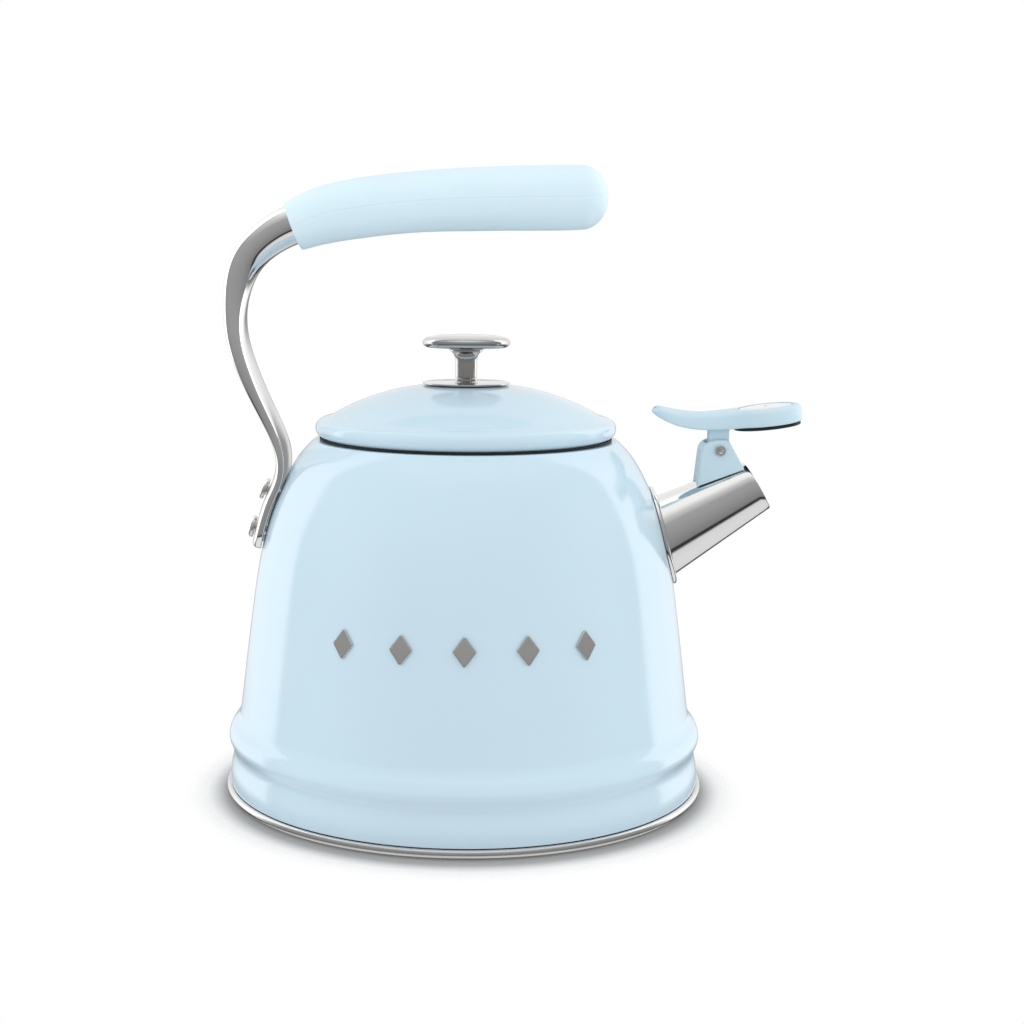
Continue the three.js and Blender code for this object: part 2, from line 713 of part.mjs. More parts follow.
// Stations of the free bar: distance out from the wall at the foot's top, height above the
// foot's top, thickness and width.
const BAR_STATIONS = [
  [-0.7, 22, STRAP_T + 0.4, STRAP_W - 2],
  [4.3, 34, STRAP_T + 1.5, STRAP_W - 4],
  [10.1, 47, STRAP_T + 2.7, STRAP_W - 4],
  [14.5, 60, STRAP_T + 3.9, STRAP_W - 7],
  [15.5, 72, BAR_D - 6.8, BAR_D + 4.6],
  [13.9, 83.4, BAR_D - 3.9, BAR_D + 1.6],
  [10, 92.3, BAR_D - 2, BAR_D + 0.2],
  [2.8, 99.1, BAR_D - 1.3, BAR_D + 0.1],
  [-5.6, 104.2, BAR_D, BAR_D],
  [-18.1, 107.9, BAR_D - 0.6, BAR_D - 0.6],
  [-33.1, 111, BAR_D - 1.4, BAR_D - 1.4],
  [-54, 113.4, BAR_D - 1.4, BAR_D - 1.4],
  [-80, 114.7, BAR_D - 1.4, BAR_D - 1.4],
];
// Stations of the grip, in the same terms.
const GRIP_STATIONS = [
  [-7.2, 103.8, BAR_D + 3.6],
  [-18.1, 107.9, BAR_D + 6.2],
  [-33.1, 111, BAR_D + 7.4],
  [-54, 113.4, BAR_D + 7.7],
  [-80, 114.7, BAR_D + 8.8],
  [-109, 115.3, BAR_D + 9.3],
  [-117.5, 115.5, BAR_D + 8.9],
];
const GRIP_END_R = 10.2; // length of the grip's domed end

const FOOT_TOP_Z = SEAT_Z + FOOT_TOP;
const HANDLE_WALL_R = wallRadius(FOOT_TOP_Z);

// Station list as smooth curves: one of places, one of sizes at the same steps.
function stationCurves(stations) {
  const places = stations.map(([out, up]) => at(-HANDLE_WALL_R - out, FOOT_TOP_Z + up));
  const sizes = stations.map(([, , thick, wide]) => new THREE.Vector3(thick, wide ?? thick, 0));
  return [new THREE.CatmullRomCurve3(places), new THREE.CatmullRomCurve3(sizes)];
}

// Ring round a point of the handle's line: an ellipse that squares up as it flattens, with its
// edges bowed towards the vessel by a distance.
function barRing(place, way, thick, wide, bow, count) {
  const up = at(-way.z, way.x);
  const squareness = THREE.MathUtils.clamp(2 + (wide / thick - 1) * 0.45, 2, 4.5);
  return Array.from({ length: count }, (_, i) => {
    const angle = (2 * Math.PI * i) / count;
    const power = (value) => Math.sign(value) * Math.abs(value) ** (2 / squareness);
    const side = power(Math.cos(angle));
    const lift = (power(Math.sin(angle)) * thick) / 2 - bow * side * side;
    return place.clone().addScaledVector(up, lift).setY((side * wide) / 2);
  });
}

// Bar stations of the foot, which lies on the wall, from its lower end up.
function footStations() {
  const heights = [FOOT_END, (FOOT_END + FOOT_TOP) / 2, FOOT_TOP];
  return heights.map((up) => {
    const height = SEAT_Z + up;
    const tilt = wallTilt(height);
    const lift = FIT + FOOT_SLACK + STRAP_T / 2;
    const out = wallRadius(height) + lift * Math.cos(tilt) - HANDLE_WALL_R;
    return [out, height + lift * Math.sin(tilt) - FOOT_TOP_Z, STRAP_T, STRAP_W];
  });
}

// Bar stations of the neck, where the bar draws away from the wall: distance out from the wall
// at their own height, and height above the foot's top.
function neckStations() {
  const clearances = [[2.7, 7], [4.9, 14]];
  return clearances.map(([clear, up]) => (
    [wallRadius(FOOT_TOP_Z + up) + clear - HANDLE_WALL_R, up, STRAP_T, STRAP_W]
  ));
}

function handleBar() {
  const stations = [...footStations(), ...neckStations(), ...BAR_STATIONS];
  const [places, sizes] = stationCurves(stations);
  const steps = (stations.length - 1) * 2;
  const fullBow = (STRAP_W / 2) ** 2 / (2 * HANDLE_WALL_R);
  const rings = Array.from({ length: steps + 1 }, (_, i) => {
    const share = i / steps;
    const place = places.getPoint(share);
    const size = sizes.getPoint(share);
    const free = THREE.MathUtils.smoothstep(place.z, FOOT_TOP_Z + 4, FOOT_TOP_Z + 44);
    return barRing(place, places.getTangent(share), size.x, size.y, fullBow * (1 - free), 16);
  });
  return cut(lofted(rings), ...RIVETS_UP.map(rivetHole));
}

// Skin of the grip, or of the bar inside it grown by the fit.
function gripSkin() {
  const [places, sizes] = stationCurves(GRIP_STATIONS);
  const steps = (GRIP_STATIONS.length - 1) * 2;
  const rings = Array.from({ length: steps + 1 }, (_, i) => {
    const height = sizes.getPoint(i / steps).x;
    const way = places.getTangent(i / steps);
    return barRing(places.getPoint(i / steps), way, height, height * GRIP_WIDEN, 0, 18);
  });
  const end = places.getPoint(1);
  const way = places.getTangent(1);
  const endH = sizes.getPoint(1).x;
  for (const angle of [25, 48, 68, 84]) {
    const turn = THREE.MathUtils.degToRad(angle);
    const place = end.clone().addScaledVector(way, GRIP_END_R * Math.sin(turn));
    const height = endH * Math.cos(turn);
    rings.push(barRing(place, way, height, height * GRIP_WIDEN, 0, 18));
  }
  return lofted(rings);
}

function grip() {
  const inner = BAR_STATIONS.slice(-6).map(([out, up, thick, wide]) => (
    [out, up, thick + 2 * FIT, wide + 2 * FIT]
  ));
  const [places, sizes] = stationCurves(inner);
  const steps = (inner.length - 1) * 2;
  const rings = Array.from({ length: steps + 1 }, (_, i) => {
    const size = sizes.getPoint(i / steps);
    const place = places.getPoint(i / steps);
    return barRing(place, places.getTangent(i / steps), size.x, size.y, 0, 16);
  });
  const past = places.getPoint(1).addScaledVector(places.getTangent(1), 2 * FIT);
  const last = sizes.getPoint(1);
  rings.push(barRing(past, places.getTangent(1), last.x, last.y, 0, 16));
  return cut(gripSkin(), lofted(rings));
}

// Rivet with a domed outer head and a flatter head formed inside the vessel.
function rivet(up) {
  const way = rivetWay(up);
  const outFace = STRAP_T + FOOT_SLACK + 2 * FIT + HEAD_SLACK;
  const inFace = -WALL - BACKING_T - 2 * FIT - 2 * HEAD_SLACK;
  const outline = [
    [0, inFace - 1.6],
    [RIVET_HEAD_R - 1.6, inFace - 1.4],
    [RIVET_HEAD_R - 0.5, inFace - 0.8],
    [RIVET_HEAD_R - 0.5, inFace],
    [RIVET_R, inFace],
    [RIVET_R, outFace],
    [RIVET_HEAD_R, outFace],
    [RIVET_HEAD_R, outFace + RIVET_HEAD_H * 0.35],
    [RIVET_HEAD_R * 0.8, outFace + RIVET_HEAD_H * 0.75],
    [RIVET_HEAD_R * 0.45, outFace + RIVET_HEAD_H],
    [0, outFace + RIVET_HEAD_H],
  ];
  const points = outline.map(([r, z]) => new THREE.Vector2(r, z));
  const turn = new THREE.Quaternion().setFromUnitVectors(new THREE.Vector3(0, 1, 0), way);
  const place = rivetPlace(up);
  const geometry = new THREE.LatheGeometry(points, SMALL_SIDES).applyQuaternion(turn);
  return solid(geometry.translate(place.x, place.y, place.z));
}

// Plate inside the vessel that spreads the load of both rivets.
function rivetBacking() {
  const [upper, lower] = RIVETS_UP;
  const top = SEAT_Z + upper + 7;
  const bottom = SEAT_Z + lower - 7;
  const slab = new THREE.BoxGeometry(60, 18, top - bottom);
  slab.translate(-HANDLE_WALL_R, 0, (top + bottom) / 2);
  const near = -WALL - FIT - HEAD_SLACK;
  const sheet = wallSheet(near - BACKING_T, near).intersect(solid(slab));
  return cut(sheet, ...RIVETS_UP.map(rivetHole));
}

// ---- Assembly ----

const kettle = new THREE.Group();
kettle.add(
  named('body_shell', bodyShell(), enamel),
  named('base_pan', basePan(), polishedSteel),
  named('base_core', baseCore(), aluminium),
  named('base_cap', baseCap(), brushedSteel),
);
for (let i = 0; i < STUD_COUNT; i += 1) {
  const turn = (i - (STUD_COUNT - 1) / 2) * STUD_PITCH;
  kettle.add(named(`trim_stud_${i + 1}`, trimStud(turn), brushedSteel));
}
kettle.add(
  named('lid_shell', lidShell(), enamel),
  named('lid_pan', lidPan(), brushedSteel),
  named('lid_gasket', lidGasket(), blackRubber),
  named('knob_plate', knobPlate(), polishedSteel),
  named('knob_collar', knobCollar(), polishedSteel),
  named('knob_stem', knobStem(), polishedSteel),
  named('knob_cap', knobCap(), polishedSteel),
  named('knob_washer', knobWasher(), brushedSteel),
  named('knob_screw', knobScrew(), brushedSteel),
  named('spout_tube', spoutTube(), polishedSteel),
  named('spout_flange', spoutFlange(), polishedSteel),
  named('whistle_bracket', whistleBracket(), bluePlastic),
  named('pivot_pin', pivotPin(), brushedSteel),
  whistleSet(),
  named('handle_bar', handleBar(), polishedSteel),
  named('grip', grip(), bluePlastic),
  named('rivet_upper', rivet(RIVETS_UP[0]), brushedSteel),
  named('rivet_lower', rivet(RIVETS_UP[1]), brushedSteel),
  named('rivet_backing', rivetBacking(), brushedSteel),
);

export default kettle;
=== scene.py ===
"""Stovetop whistling kettle: the finished pieces, their materials, and the stage.

Lengths in the piece functions are millimetres in the kettle's own frame, with +Z up, the spout
along +X and the origin at the centre of the underside. Meshes are written in metres.
"""
import json
import math

import bmesh
import bpy
import numpy as np
from bpy.props import FloatProperty, FloatVectorProperty, IntProperty, PointerProperty
from mathutils import Matrix, Vector


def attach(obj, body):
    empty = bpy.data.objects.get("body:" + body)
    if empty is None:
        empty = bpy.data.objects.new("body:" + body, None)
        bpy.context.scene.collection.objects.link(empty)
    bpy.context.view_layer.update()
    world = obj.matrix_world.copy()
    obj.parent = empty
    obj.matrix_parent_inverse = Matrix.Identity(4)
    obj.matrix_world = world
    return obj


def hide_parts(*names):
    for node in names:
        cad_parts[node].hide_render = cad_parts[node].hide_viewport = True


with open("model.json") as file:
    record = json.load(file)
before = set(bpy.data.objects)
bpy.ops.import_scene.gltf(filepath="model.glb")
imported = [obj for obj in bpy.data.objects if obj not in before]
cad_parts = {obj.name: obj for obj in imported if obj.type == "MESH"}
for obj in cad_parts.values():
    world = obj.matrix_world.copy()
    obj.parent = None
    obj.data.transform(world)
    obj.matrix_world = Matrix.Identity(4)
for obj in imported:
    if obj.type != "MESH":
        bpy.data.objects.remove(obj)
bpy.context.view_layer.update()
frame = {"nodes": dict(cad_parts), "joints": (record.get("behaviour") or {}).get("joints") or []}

bl_info = {
    "name": "Whistling Kettle",
    "version": (1, 0, 0),
    "blender": (4, 5, 0),
    "location": "View3D > Sidebar > Kettle",
    "description": "Builds an enamelled stovetop kettle with a hinged whistle",
    "category": "Add Mesh",
}

MM = 0.001
JOINTS = {joint["name"]: joint for joint in frame["joints"]}
PIVOT = [value / MM for value in JOINTS["whistle_flip"]["pos_m"]]

FIT = 0.3
SPOUT_RISE = math.radians(29)
MOUTH_RISE = math.radians(31)
DISC_TILT = math.radians(7)


# ---- Settings ----

def length(name, default, description, low=0.0001):
    """A length property in metres."""
    return FloatProperty(
        name=name, description=description, default=default, min=low, precision=5, unit="LENGTH")


def colour(name, default, description):
    """A colour property, as linear red, green and blue."""
    return FloatVectorProperty(
        name=name, description=description, default=default, size=3, min=0, max=1,
        subtype="COLOR")


class KettleSizes(bpy.types.PropertyGroup):
    """Sizes of the kettle's main pieces"""

    foot_radius: length("Foot radius", 0.0922, "Outer radius of the wall at its foot")
    seat_height: length("Seat height", 0.1373, "Height of the level seat under the lid")
    mouth_radius: length("Mouth radius", 0.050, "Radius of the filling hole")
    wall: length("Wall", 0.0012, "Thickness of the enamelled steel")
    lid_rise: length("Lid rise", 0.0212, "Top of the lid above its seat")
    knob_radius: length("Knob radius", 0.0169, "Radius of the lid's knob")
    spout_length: length("Spout length", 0.0408, "Length of the spout along its axis")
    spout_root_radius: length("Spout root radius", 0.01526, "Radius of the spout at the wall")
    spout_tip_radius: length("Spout tip radius", 0.0103, "Radius of the spout at its mouth")
    disc_radius: length("Disc radius", 0.0136, "Radius of the whistle's disc")
    strap_width: length("Strap width", 0.0325, "Width of the handle's flattened foot")
    rivet_radius: length("Rivet radius", 0.0043, "Radius of a rivet's head")
    segments: IntProperty(
        name="Segments", description="Steps round the turned pieces", default=160, min=32)


class KettleColours(bpy.types.PropertyGroup):
    """Colours of the kettle's finishes"""

    enamel: colour("Enamel", (0.575, 0.738, 0.838), "Vitreous enamel of the vessel and lid")
    plastic: colour("Plastic", (0.560, 0.735, 0.825), "Moulded lever and bracket")
    grip: colour("Grip", (0.690, 0.860, 0.945), "Soft moulded grip")
    polished: colour("Polished steel", (0.80, 0.80, 0.795), "Mirror-polished steel")
    rim: colour("Rim steel", (0.62, 0.62, 0.62), "Brushed steel of the base rim")
    chrome: colour("Knob steel", (0.56, 0.55, 0.54), "Darker polished steel of the knob")
    # Painted shade: the plate in the whistle's well is near black so that the blow hole reads
    # dark.
    reed: colour("Reed steel", (0.06, 0.06, 0.06), "Darkened plate inside the whistle")
    satin: colour("Satin steel", (0.78, 0.77, 0.75), "Satin steel")
    rubber: colour("Rubber", (0.012, 0.013, 0.015), "Seal and gasket")
    core: colour("Core aluminium", (0.66, 0.66, 0.67), "Plain aluminium of the base core")


def size(name):
    """A size from the settings, in millimetres."""
    return getattr(bpy.context.scene.kettle_sizes, name) / MM


def tint(name):
    """A colour from the settings."""
    return getattr(bpy.context.scene.kettle_colours, name)


# ---- Curves ----

def spline(points, per_span):
    """Smooth curve through [x, y] points, with the same number of steps in each span."""
    points = np.array(points, dtype=float)
    last = len(points) - 1
    curve = []
    for i in range(last):
        p0, p1, p2 = points[max(i - 1, 0)], points[i], points[i + 1]
        p3 = points[min(i + 2, last)]
        v0, v1 = (p2 - p0) / 2, (p3 - p1) / 2
        for step in range(per_span):
            t = step / per_span
            curve.append((2 * p1 - 2 * p2 + v0 + v1) * t ** 3
                         + (-3 * p1 + 3 * p2 - 2 * v0 - v1) * t ** 2 + v0 * t + p1)
    curve.append(points[last])
    return np.array(curve)


def drawn(points, share):
    """Place at a share of the way along an even curve through points in space."""
    points = np.array(points, dtype=float)
    last = len(points) - 1
    i = min(int(share * last), last - 1)
    t = share * last - i
    p1, p2 = points[i], points[i + 1]
    p0 = points[i - 1] if i > 0 else 2 * p1 - p2
    p3 = points[i + 2] if i + 2 <= last else 2 * p2 - p1
    spans = [max(float(np.sum((b - a) ** 2)) ** 0.25, 1e-4)
             for a, b in ((p0, p1), (p1, p2), (p2, p3))]
    d0, d1, d2 = spans
    out = ((p1 - p0) / d0 - (p2 - p0) / (d0 + d1) + (p2 - p1) / d1) * d1
    into = ((p2 - p1) / d1 - (p3 - p1) / (d1 + d2) + (p3 - p2) / d2) * d1
    return (p1 + out * t + (-3 * p1 + 3 * p2 - 2 * out - into) * t * t
            + (2 * p1 - 2 * p2 + out + into) * t ** 3)


def eased(curve, passes):
    """A polyline with its small bends averaged out, its ends held."""
    curve = np.array(curve, dtype=float)
    for _ in range(passes):
        curve[1:-1] = (curve[:-2] + 2 * curve[1:-1] + curve[2:]) / 4
    return curve


def evenly(curve, step):
    """A polyline resampled at an even spacing."""
    curve = np.array(curve, dtype=float)
    along = np.concatenate([[0], np.cumsum(np.linalg.norm(np.diff(curve, axis=0), axis=1))])
    count = max(int(round(along[-1] / step)), 1)
    places = np.linspace(0, along[-1], count + 1)
    return np.stack([np.interp(places, along, curve[:, k]) for k in range(curve.shape[1])], 1)


def offset(curve, distance):
    """A polyline moved sideways, to the right of its way."""
    curve = np.array(curve, dtype=float)
    way = np.gradient(curve, axis=0)
    way /= np.linalg.norm(way, axis=1)[:, None]
    return np.stack([curve[:, 0] + distance * way[:, 1], curve[:, 1] - distance * way[:, 0]], 1)


def arc(x, y, radius, start, stop, steps):
    """Points of an arc, with its angles in degrees."""
    return [(x + radius * math.cos(math.radians(a)), y + radius * math.sin(math.radians(a)))
            for a in np.linspace(start, stop, steps + 1)]


def bezier(points, steps):
    """Bezier curve of any degree, drawn from its control points."""
    line = []
    for t in np.linspace(0, 1, steps + 1):
        work = [np.array(point, dtype=float) for point in points]
        while len(work) > 1:
            work = [a * (1 - t) + b * t for a, b in zip(work, work[1:])]
        line.append(tuple(work[0]))
    return line


def filleted(corners, steps=5, closed=True):
    """Outline whose [x, y, radius] corners are rounded."""
    outline = []
    count = len(corners)
    for i, corner in enumerate(corners):
        x, y, radius = (*corner, 0)[:3]
        here = Vector((x, y))
        if radius <= 0 or (not closed and i in (0, count - 1)):
            outline.append((x, y))
            continue
        before = (Vector(corners[i - 1][:2]) - here)
        after = (Vector(corners[(i + 1) % count][:2]) - here)
        half = before.angle(after) / 2
        reach = min(radius / math.tan(half), before.length * 0.49, after.length * 0.49)
        start, stop = here + before.normalized() * reach, here + after.normalized() * reach
        for step in range(steps + 1):
            t = step / steps
            point = start * (1 - t) ** 2 + here * 2 * t * (1 - t) * 0.9 + stop * t * t
            weight = (1 - t) ** 2 + 2 * t * (1 - t) * 0.9 + t * t
            outline.append(tuple(point / weight))
    return outline


# ---- Meshes ----

def shade(mesh, sharp=34):
    """Smooth shading, broken where faces meet at more than an angle."""
    work = bmesh.new()
    work.from_mesh(mesh)
    bmesh.ops.remove_doubles(work, verts=work.verts, dist=2e-6)
    bmesh.ops.dissolve_degenerate(work, dist=1e-7, edges=work.edges)
    bmesh.ops.recalc_face_normals(work, faces=work.faces)
    limit = math.radians(sharp)
    for face in work.faces:
        face.smooth = True
    for edge in work.edges:
        edge.smooth = len(edge.link_faces) == 2 and edge.calc_face_angle(0) < limit
    work.to_mesh(mesh)
    work.free()


def piece(name, points, faces, sharp=34):
    """A mesh object from points in millimetres."""
    mesh = bpy.data.meshes.new(name)
    mesh.from_pydata([[value * MM for value in point] for point in points], [], faces)
    shade(mesh, sharp)
    made = bpy.data.objects.new(name, mesh)
    bpy.context.collection.objects.link(made)
    return made


def skin(name, rings, looped=False, sharp=34):
    """A mesh through rings of equally many points, with capped ends or joined on itself."""
    count = len(rings[0])
    points = [tuple(point) for ring in rings for point in ring]
    faces = []
    spans = len(rings) if looped else len(rings) - 1
    for i in range(spans):
        low, high = i * count, ((i + 1) % len(rings)) * count
        for j in range(count):
            k = (j + 1) % count
            faces.append((low + j, low + k, high + k, high + j))
    if not looped:
        faces.append(tuple(range(count)))
        faces.append(tuple(len(points) - 1 - j for j in range(count)))
    return piece(name, points, faces, sharp)


def turned(name, outline, segments=None, place=None, sharp=34):
    """A turned mesh about Z from [radius, height] points that start and end on the axis, or
    close on themselves. place moves each finished point."""
    segments = segments or bpy.context.scene.kettle_sizes.segments
    on_axis = outline[0][0] < 1e-6
    points, faces, rows = [], [], []
    for r, z in outline:
        if r < 1e-6:
            rows.append([len(points)] * segments)
            points.append((0, 0, z))
            continue
        rows.append([len(points) + j for j in range(segments)])
        points += [(r * math.cos(2 * math.pi * j / segments),
                    r * math.sin(2 * math.pi * j / segments), z) for j in range(segments)]
    pairs = list(zip(rows, rows[1:] if on_axis else rows[1:] + rows[:1]))
    for low, high in pairs:
        for j in range(segments):
            k = (j + 1) % segments
            corners = list(dict.fromkeys((low[j], low[k], high[k], high[j])))
            if len(corners) > 2:
                faces.append(tuple(corners))
    if place:
        points = [tuple(place @ Vector(point)) for point in points]
    return piece(name, points, faces, sharp)


def settled(made, sharp=34):
    """The piece with its modifiers made part of its mesh."""
    seen = made.evaluated_get(bpy.context.evaluated_depsgraph_get())
    mesh = bpy.data.meshes.new_from_object(seen)
    mesh.name = made.name
    made.modifiers.clear()
    old = made.data
    made.data = mesh
    bpy.data.meshes.remove(old)
    shade(made.data, sharp)
    return made


def carved(made, tools, operation="DIFFERENCE", sharp=34):
    """The piece cut by, or joined to, other meshes, which are used up."""
    for tool in tools:
        change = made.modifiers.new("carve", "BOOLEAN")
        change.operation = operation
        change.solver = "EXACT"
        change.object = tool
    settled(made, sharp)
    for tool in tools:
        bpy.data.meshes.remove(tool.data)
    return made


def tube_between(name, start, stop, r0, r1, segments=96):
    """A straight tapered bar between two points."""
    start, stop = Vector(start), Vector(stop)
    turn = (stop - start).to_track_quat("Z", "Y").to_matrix().to_4x4()
    place = Matrix.Translation(start) @ turn
    height = (stop - start).length
    return turned(name, [(0, 0), (r0, 0), (r1, height), (0, height)], segments, place)


def plate(name, outline, low, high, edge, place=None, steps=4):
    """A plate between two heights from a convex outline in its plane, with rounded rims."""
    outline = np.array(outline, dtype=float)
    way = np.roll(outline, -1, 0) - np.roll(outline, 1, 0)
    way /= np.linalg.norm(way, axis=1)[:, None]
    inward = np.stack([-way[:, 1], way[:, 0]], 1)
    area = np.sum(outline[:, 0] * np.roll(outline[:, 1], -1)
                  - np.roll(outline[:, 0], -1) * outline[:, 1])
    inward *= 1 if area > 0 else -1
    rings = []
    levels = [(edge * (1 - math.sin(a)), low + edge * (1 - math.cos(a)))
              for a in np.linspace(0, math.pi / 2, steps + 1)]
    levels += [(edge * (1 - math.cos(a)), high - edge * (1 - math.sin(a)))
               for a in np.linspace(0, math.pi / 2, steps + 1)]
    for inset, level in levels:
        rings.append([(x, y, level) for x, y in outline + inward * inset])
    if place:
        rings = [[tuple(place @ Vector(point)) for point in ring] for ring in rings]
    return skin(name, rings)


def belongs(made, body, node, surface):
    """Joins a finished piece to its body, its node and its finish."""
    made.data.materials.clear()
    made.data.materials.append(surface)
    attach(made, body)
    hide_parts(node)
    return made


def finished_node(name, surface_of):
    """Gives a frame node that stays in view its finish, on its object."""
    node = frame["nodes"][name]
    for held in node.material_slots:
        held.link = "OBJECT"
        held.material = surface_of


# ---- Vessel wall ----

SEAT_WIDTH = 8.8
WALL_LINES = {}


def wall_curve(lift=0.0):
    """Line of the wall from its foot to the lid seat, moved out by a distance, as
    [radius, height]. Each line is worked out once and kept with the sizes it came from."""
    foot_r, seat_z = size("foot_radius"), size("seat_height")
    seat_r = size("mouth_radius") + SEAT_WIDTH
    kept = (lift, foot_r, seat_z, seat_r)
    if kept in WALL_LINES:
        return WALL_LINES[kept]
    waist_r, waist_z, rib_z = foot_r - 4.2, 33.6, 22.1
    shares = [(0, 0), (0.12, 0.27), (0.264, 0.55), (0.425, 0.738), (0.551, 0.815),
              (0.712, 0.91), (0.84, 0.968), (1, 1)]
    upper = [(waist_r + (seat_r - waist_r) * a, waist_z + (seat_z - waist_z) * b)
             for a, b in shares]
    foot = [(foot_r, 3.5), (foot_r, 8.53), (foot_r - 1.1, rib_z - 6),
            (foot_r + 0.6, rib_z - 0.6), (foot_r - 0.5, rib_z + 3.4),
            (waist_r + 1.3, rib_z + 6.7)]
    line = evenly(spline(foot + upper, 24), 0.8)
    share = np.clip((line[:, 1] - 38) / 14, 0, 1)[:, None]
    line = line * (1 - share) + eased(line, 130) * share
    WALL_LINES[kept] = offset(line, lift) if lift else line
    return WALL_LINES[kept]


def wall_radius(height, lift=0.0):
    """Radius of the wall, or of a line outside it, at a height."""
    line = wall_curve(lift)
    return np.interp(height, line[:, 1], line[:, 0])


def onto_wall(starts, way, lift):
    """Points on lines along one way that lie a distance outside the wall."""
    starts, way = np.array(starts, dtype=float), np.array(way, dtype=float)
    low, high = np.full(len(starts), -30.0), np.full(len(starts), 30.0)
    for _ in range(36):
        middle = (low + high) / 2
        here = starts + way * middle[:, None]
        inside = np.hypot(here[:, 0], here[:, 1]) < wall_radius(here[:, 2], lift)
        low, high = np.where(inside, middle, low), np.where(inside, high, middle)
    return starts + way * low[:, None]


SPOUT_ROOT = Vector((78.316, 0, 100))
SPOUT_WAY = Vector((math.cos(SPOUT_RISE), 0, math.sin(SPOUT_RISE)))
SPOUT_UP = Vector((-math.sin(SPOUT_RISE), 0, math.cos(SPOUT_RISE)))
MOUTH_WAY = Vector((math.cos(MOUTH_RISE), 0, math.sin(MOUTH_RISE)))


def spout_mouth():
    """Centre of the spout's mouth."""
    return SPOUT_ROOT + SPOUT_WAY * size("spout_length")


def spout_radius(along, inset=0.0):
    """Radius of the spout at a distance from the wall along its axis."""
    root, tip = size("spout_root_radius"), size("spout_tip_radius")
    return root + (tip - root) * along / size("spout_length") - inset


def spout_cone(name, growth):
    """The spout's cone as a cutting tool, grown by a distance and long at both ends."""
    start, stop = -14.0, size("spout_length") + 8
    return tube_between(name, SPOUT_ROOT + SPOUT_WAY * start, SPOUT_ROOT + SPOUT_WAY * stop,
                        spout_radius(start, -growth), spout_radius(stop, -growth), 128)


# ---- Shader groups ----

def new_group(name, inputs, outputs):
    """An empty shader node group with named sockets, and its input and output nodes."""
    group = bpy.data.node_groups.new(name, "ShaderNodeTree")
    for label, kind, default in inputs:
        socket = group.interface.new_socket(name=label, in_out="INPUT", socket_type=kind)
        socket.default_value = default
    for label, kind in outputs:
        group.interface.new_socket(name=label, in_out="OUTPUT", socket_type=kind)
    return group, group.nodes.new("NodeGroupInput"), group.nodes.new("NodeGroupOutput")


def noise(group, scale_socket, detail, roughness=0.5):
    """A noise texture on the piece's own coordinates."""
    place = group.nodes.new("ShaderNodeTexCoord")
    made = group.nodes.new("ShaderNodeTexNoise")
    made.inputs["Detail"].default_value = detail
    made.inputs["Roughness"].default_value = roughness
    group.links.new(place.outputs["Object"], made.inputs["Vector"])
    if scale_socket:
        group.links.new(scale_socket, made.inputs["Scale"])
    return made


def spread(group, value, low, high, low_to=0.0, high_to=1.0, smooth=False):
    """A value carried from one range to another, evenly or with soft ends."""
    made = group.nodes.new("ShaderNodeMapRange")
    if smooth:
        made.interpolation_type = "SMOOTHSTEP"
    for label, part in (("From Min", low), ("From Max", high), ("To Min", low_to),
                        ("To Max", high_to)):
        if isinstance(part, (int, float)):
            made.inputs[label].default_value = part
        else:
            group.links.new(part, made.inputs[label])
    group.links.new(value, made.inputs["Value"])
    return made.outputs["Result"]


def tone_group(title):
    """Soft unevenness of a colour, as fired or moulded surfaces have."""
    group, given, out = new_group(
        title,
        [("Colour", "NodeSocketColor", (0.8, 0.8, 0.8, 1)), ("Scale", "NodeSocketFloat", 30),
         ("Amount", "NodeSocketFloat", 0.03)],
        [("Colour", "NodeSocketColor")])
    cloud = noise(group, given.outputs["Scale"], 3)
    less = group.nodes.new("ShaderNodeMath")
    less.operation = "SUBTRACT"
    less.inputs[0].default_value = 1
    group.links.new(given.outputs["Amount"], less.inputs[1])
    shade_of = spread(group, cloud.outputs["Fac"], 0.3, 0.7, less.outputs[0], 1.0)
    scaled = group.nodes.new("ShaderNodeVectorMath")
    scaled.operation = "SCALE"
    group.links.new(given.outputs["Colour"], scaled.inputs[0])
    group.links.new(shade_of, scaled.inputs["Scale"])
    group.links.new(scaled.outputs[0], out.inputs["Colour"])
    return group


def gloss_group(title):
    """Gloss that wanders between two roughnesses."""
    group, given, out = new_group(
        title,
        [("Scale", "NodeSocketFloat", 60), ("Smoothest", "NodeSocketFloat", 0.1),
         ("Roughest", "NodeSocketFloat", 0.2)],
        [("Roughness", "NodeSocketFloat")])
    cloud = noise(group, given.outputs["Scale"], 4, 0.6)
    value = spread(group, cloud.outputs["Fac"], 0.3, 0.7, given.outputs["Smoothest"],
                   given.outputs["Roughest"])
    group.links.new(value, out.inputs["Roughness"])
    return group


def grain_group(title):
    """Fine grain or orange peel as a height."""
    group, given, out = new_group(
        title, [("Scale", "NodeSocketFloat", 800), ("Softness", "NodeSocketFloat", 0.5)],
        [("Height", "NodeSocketFloat")])
    cloud = noise(group, given.outputs["Scale"], 2)
    group.links.new(given.outputs["Softness"], cloud.inputs["Roughness"])
    group.links.new(cloud.outputs["Fac"], out.inputs["Height"])
    return group


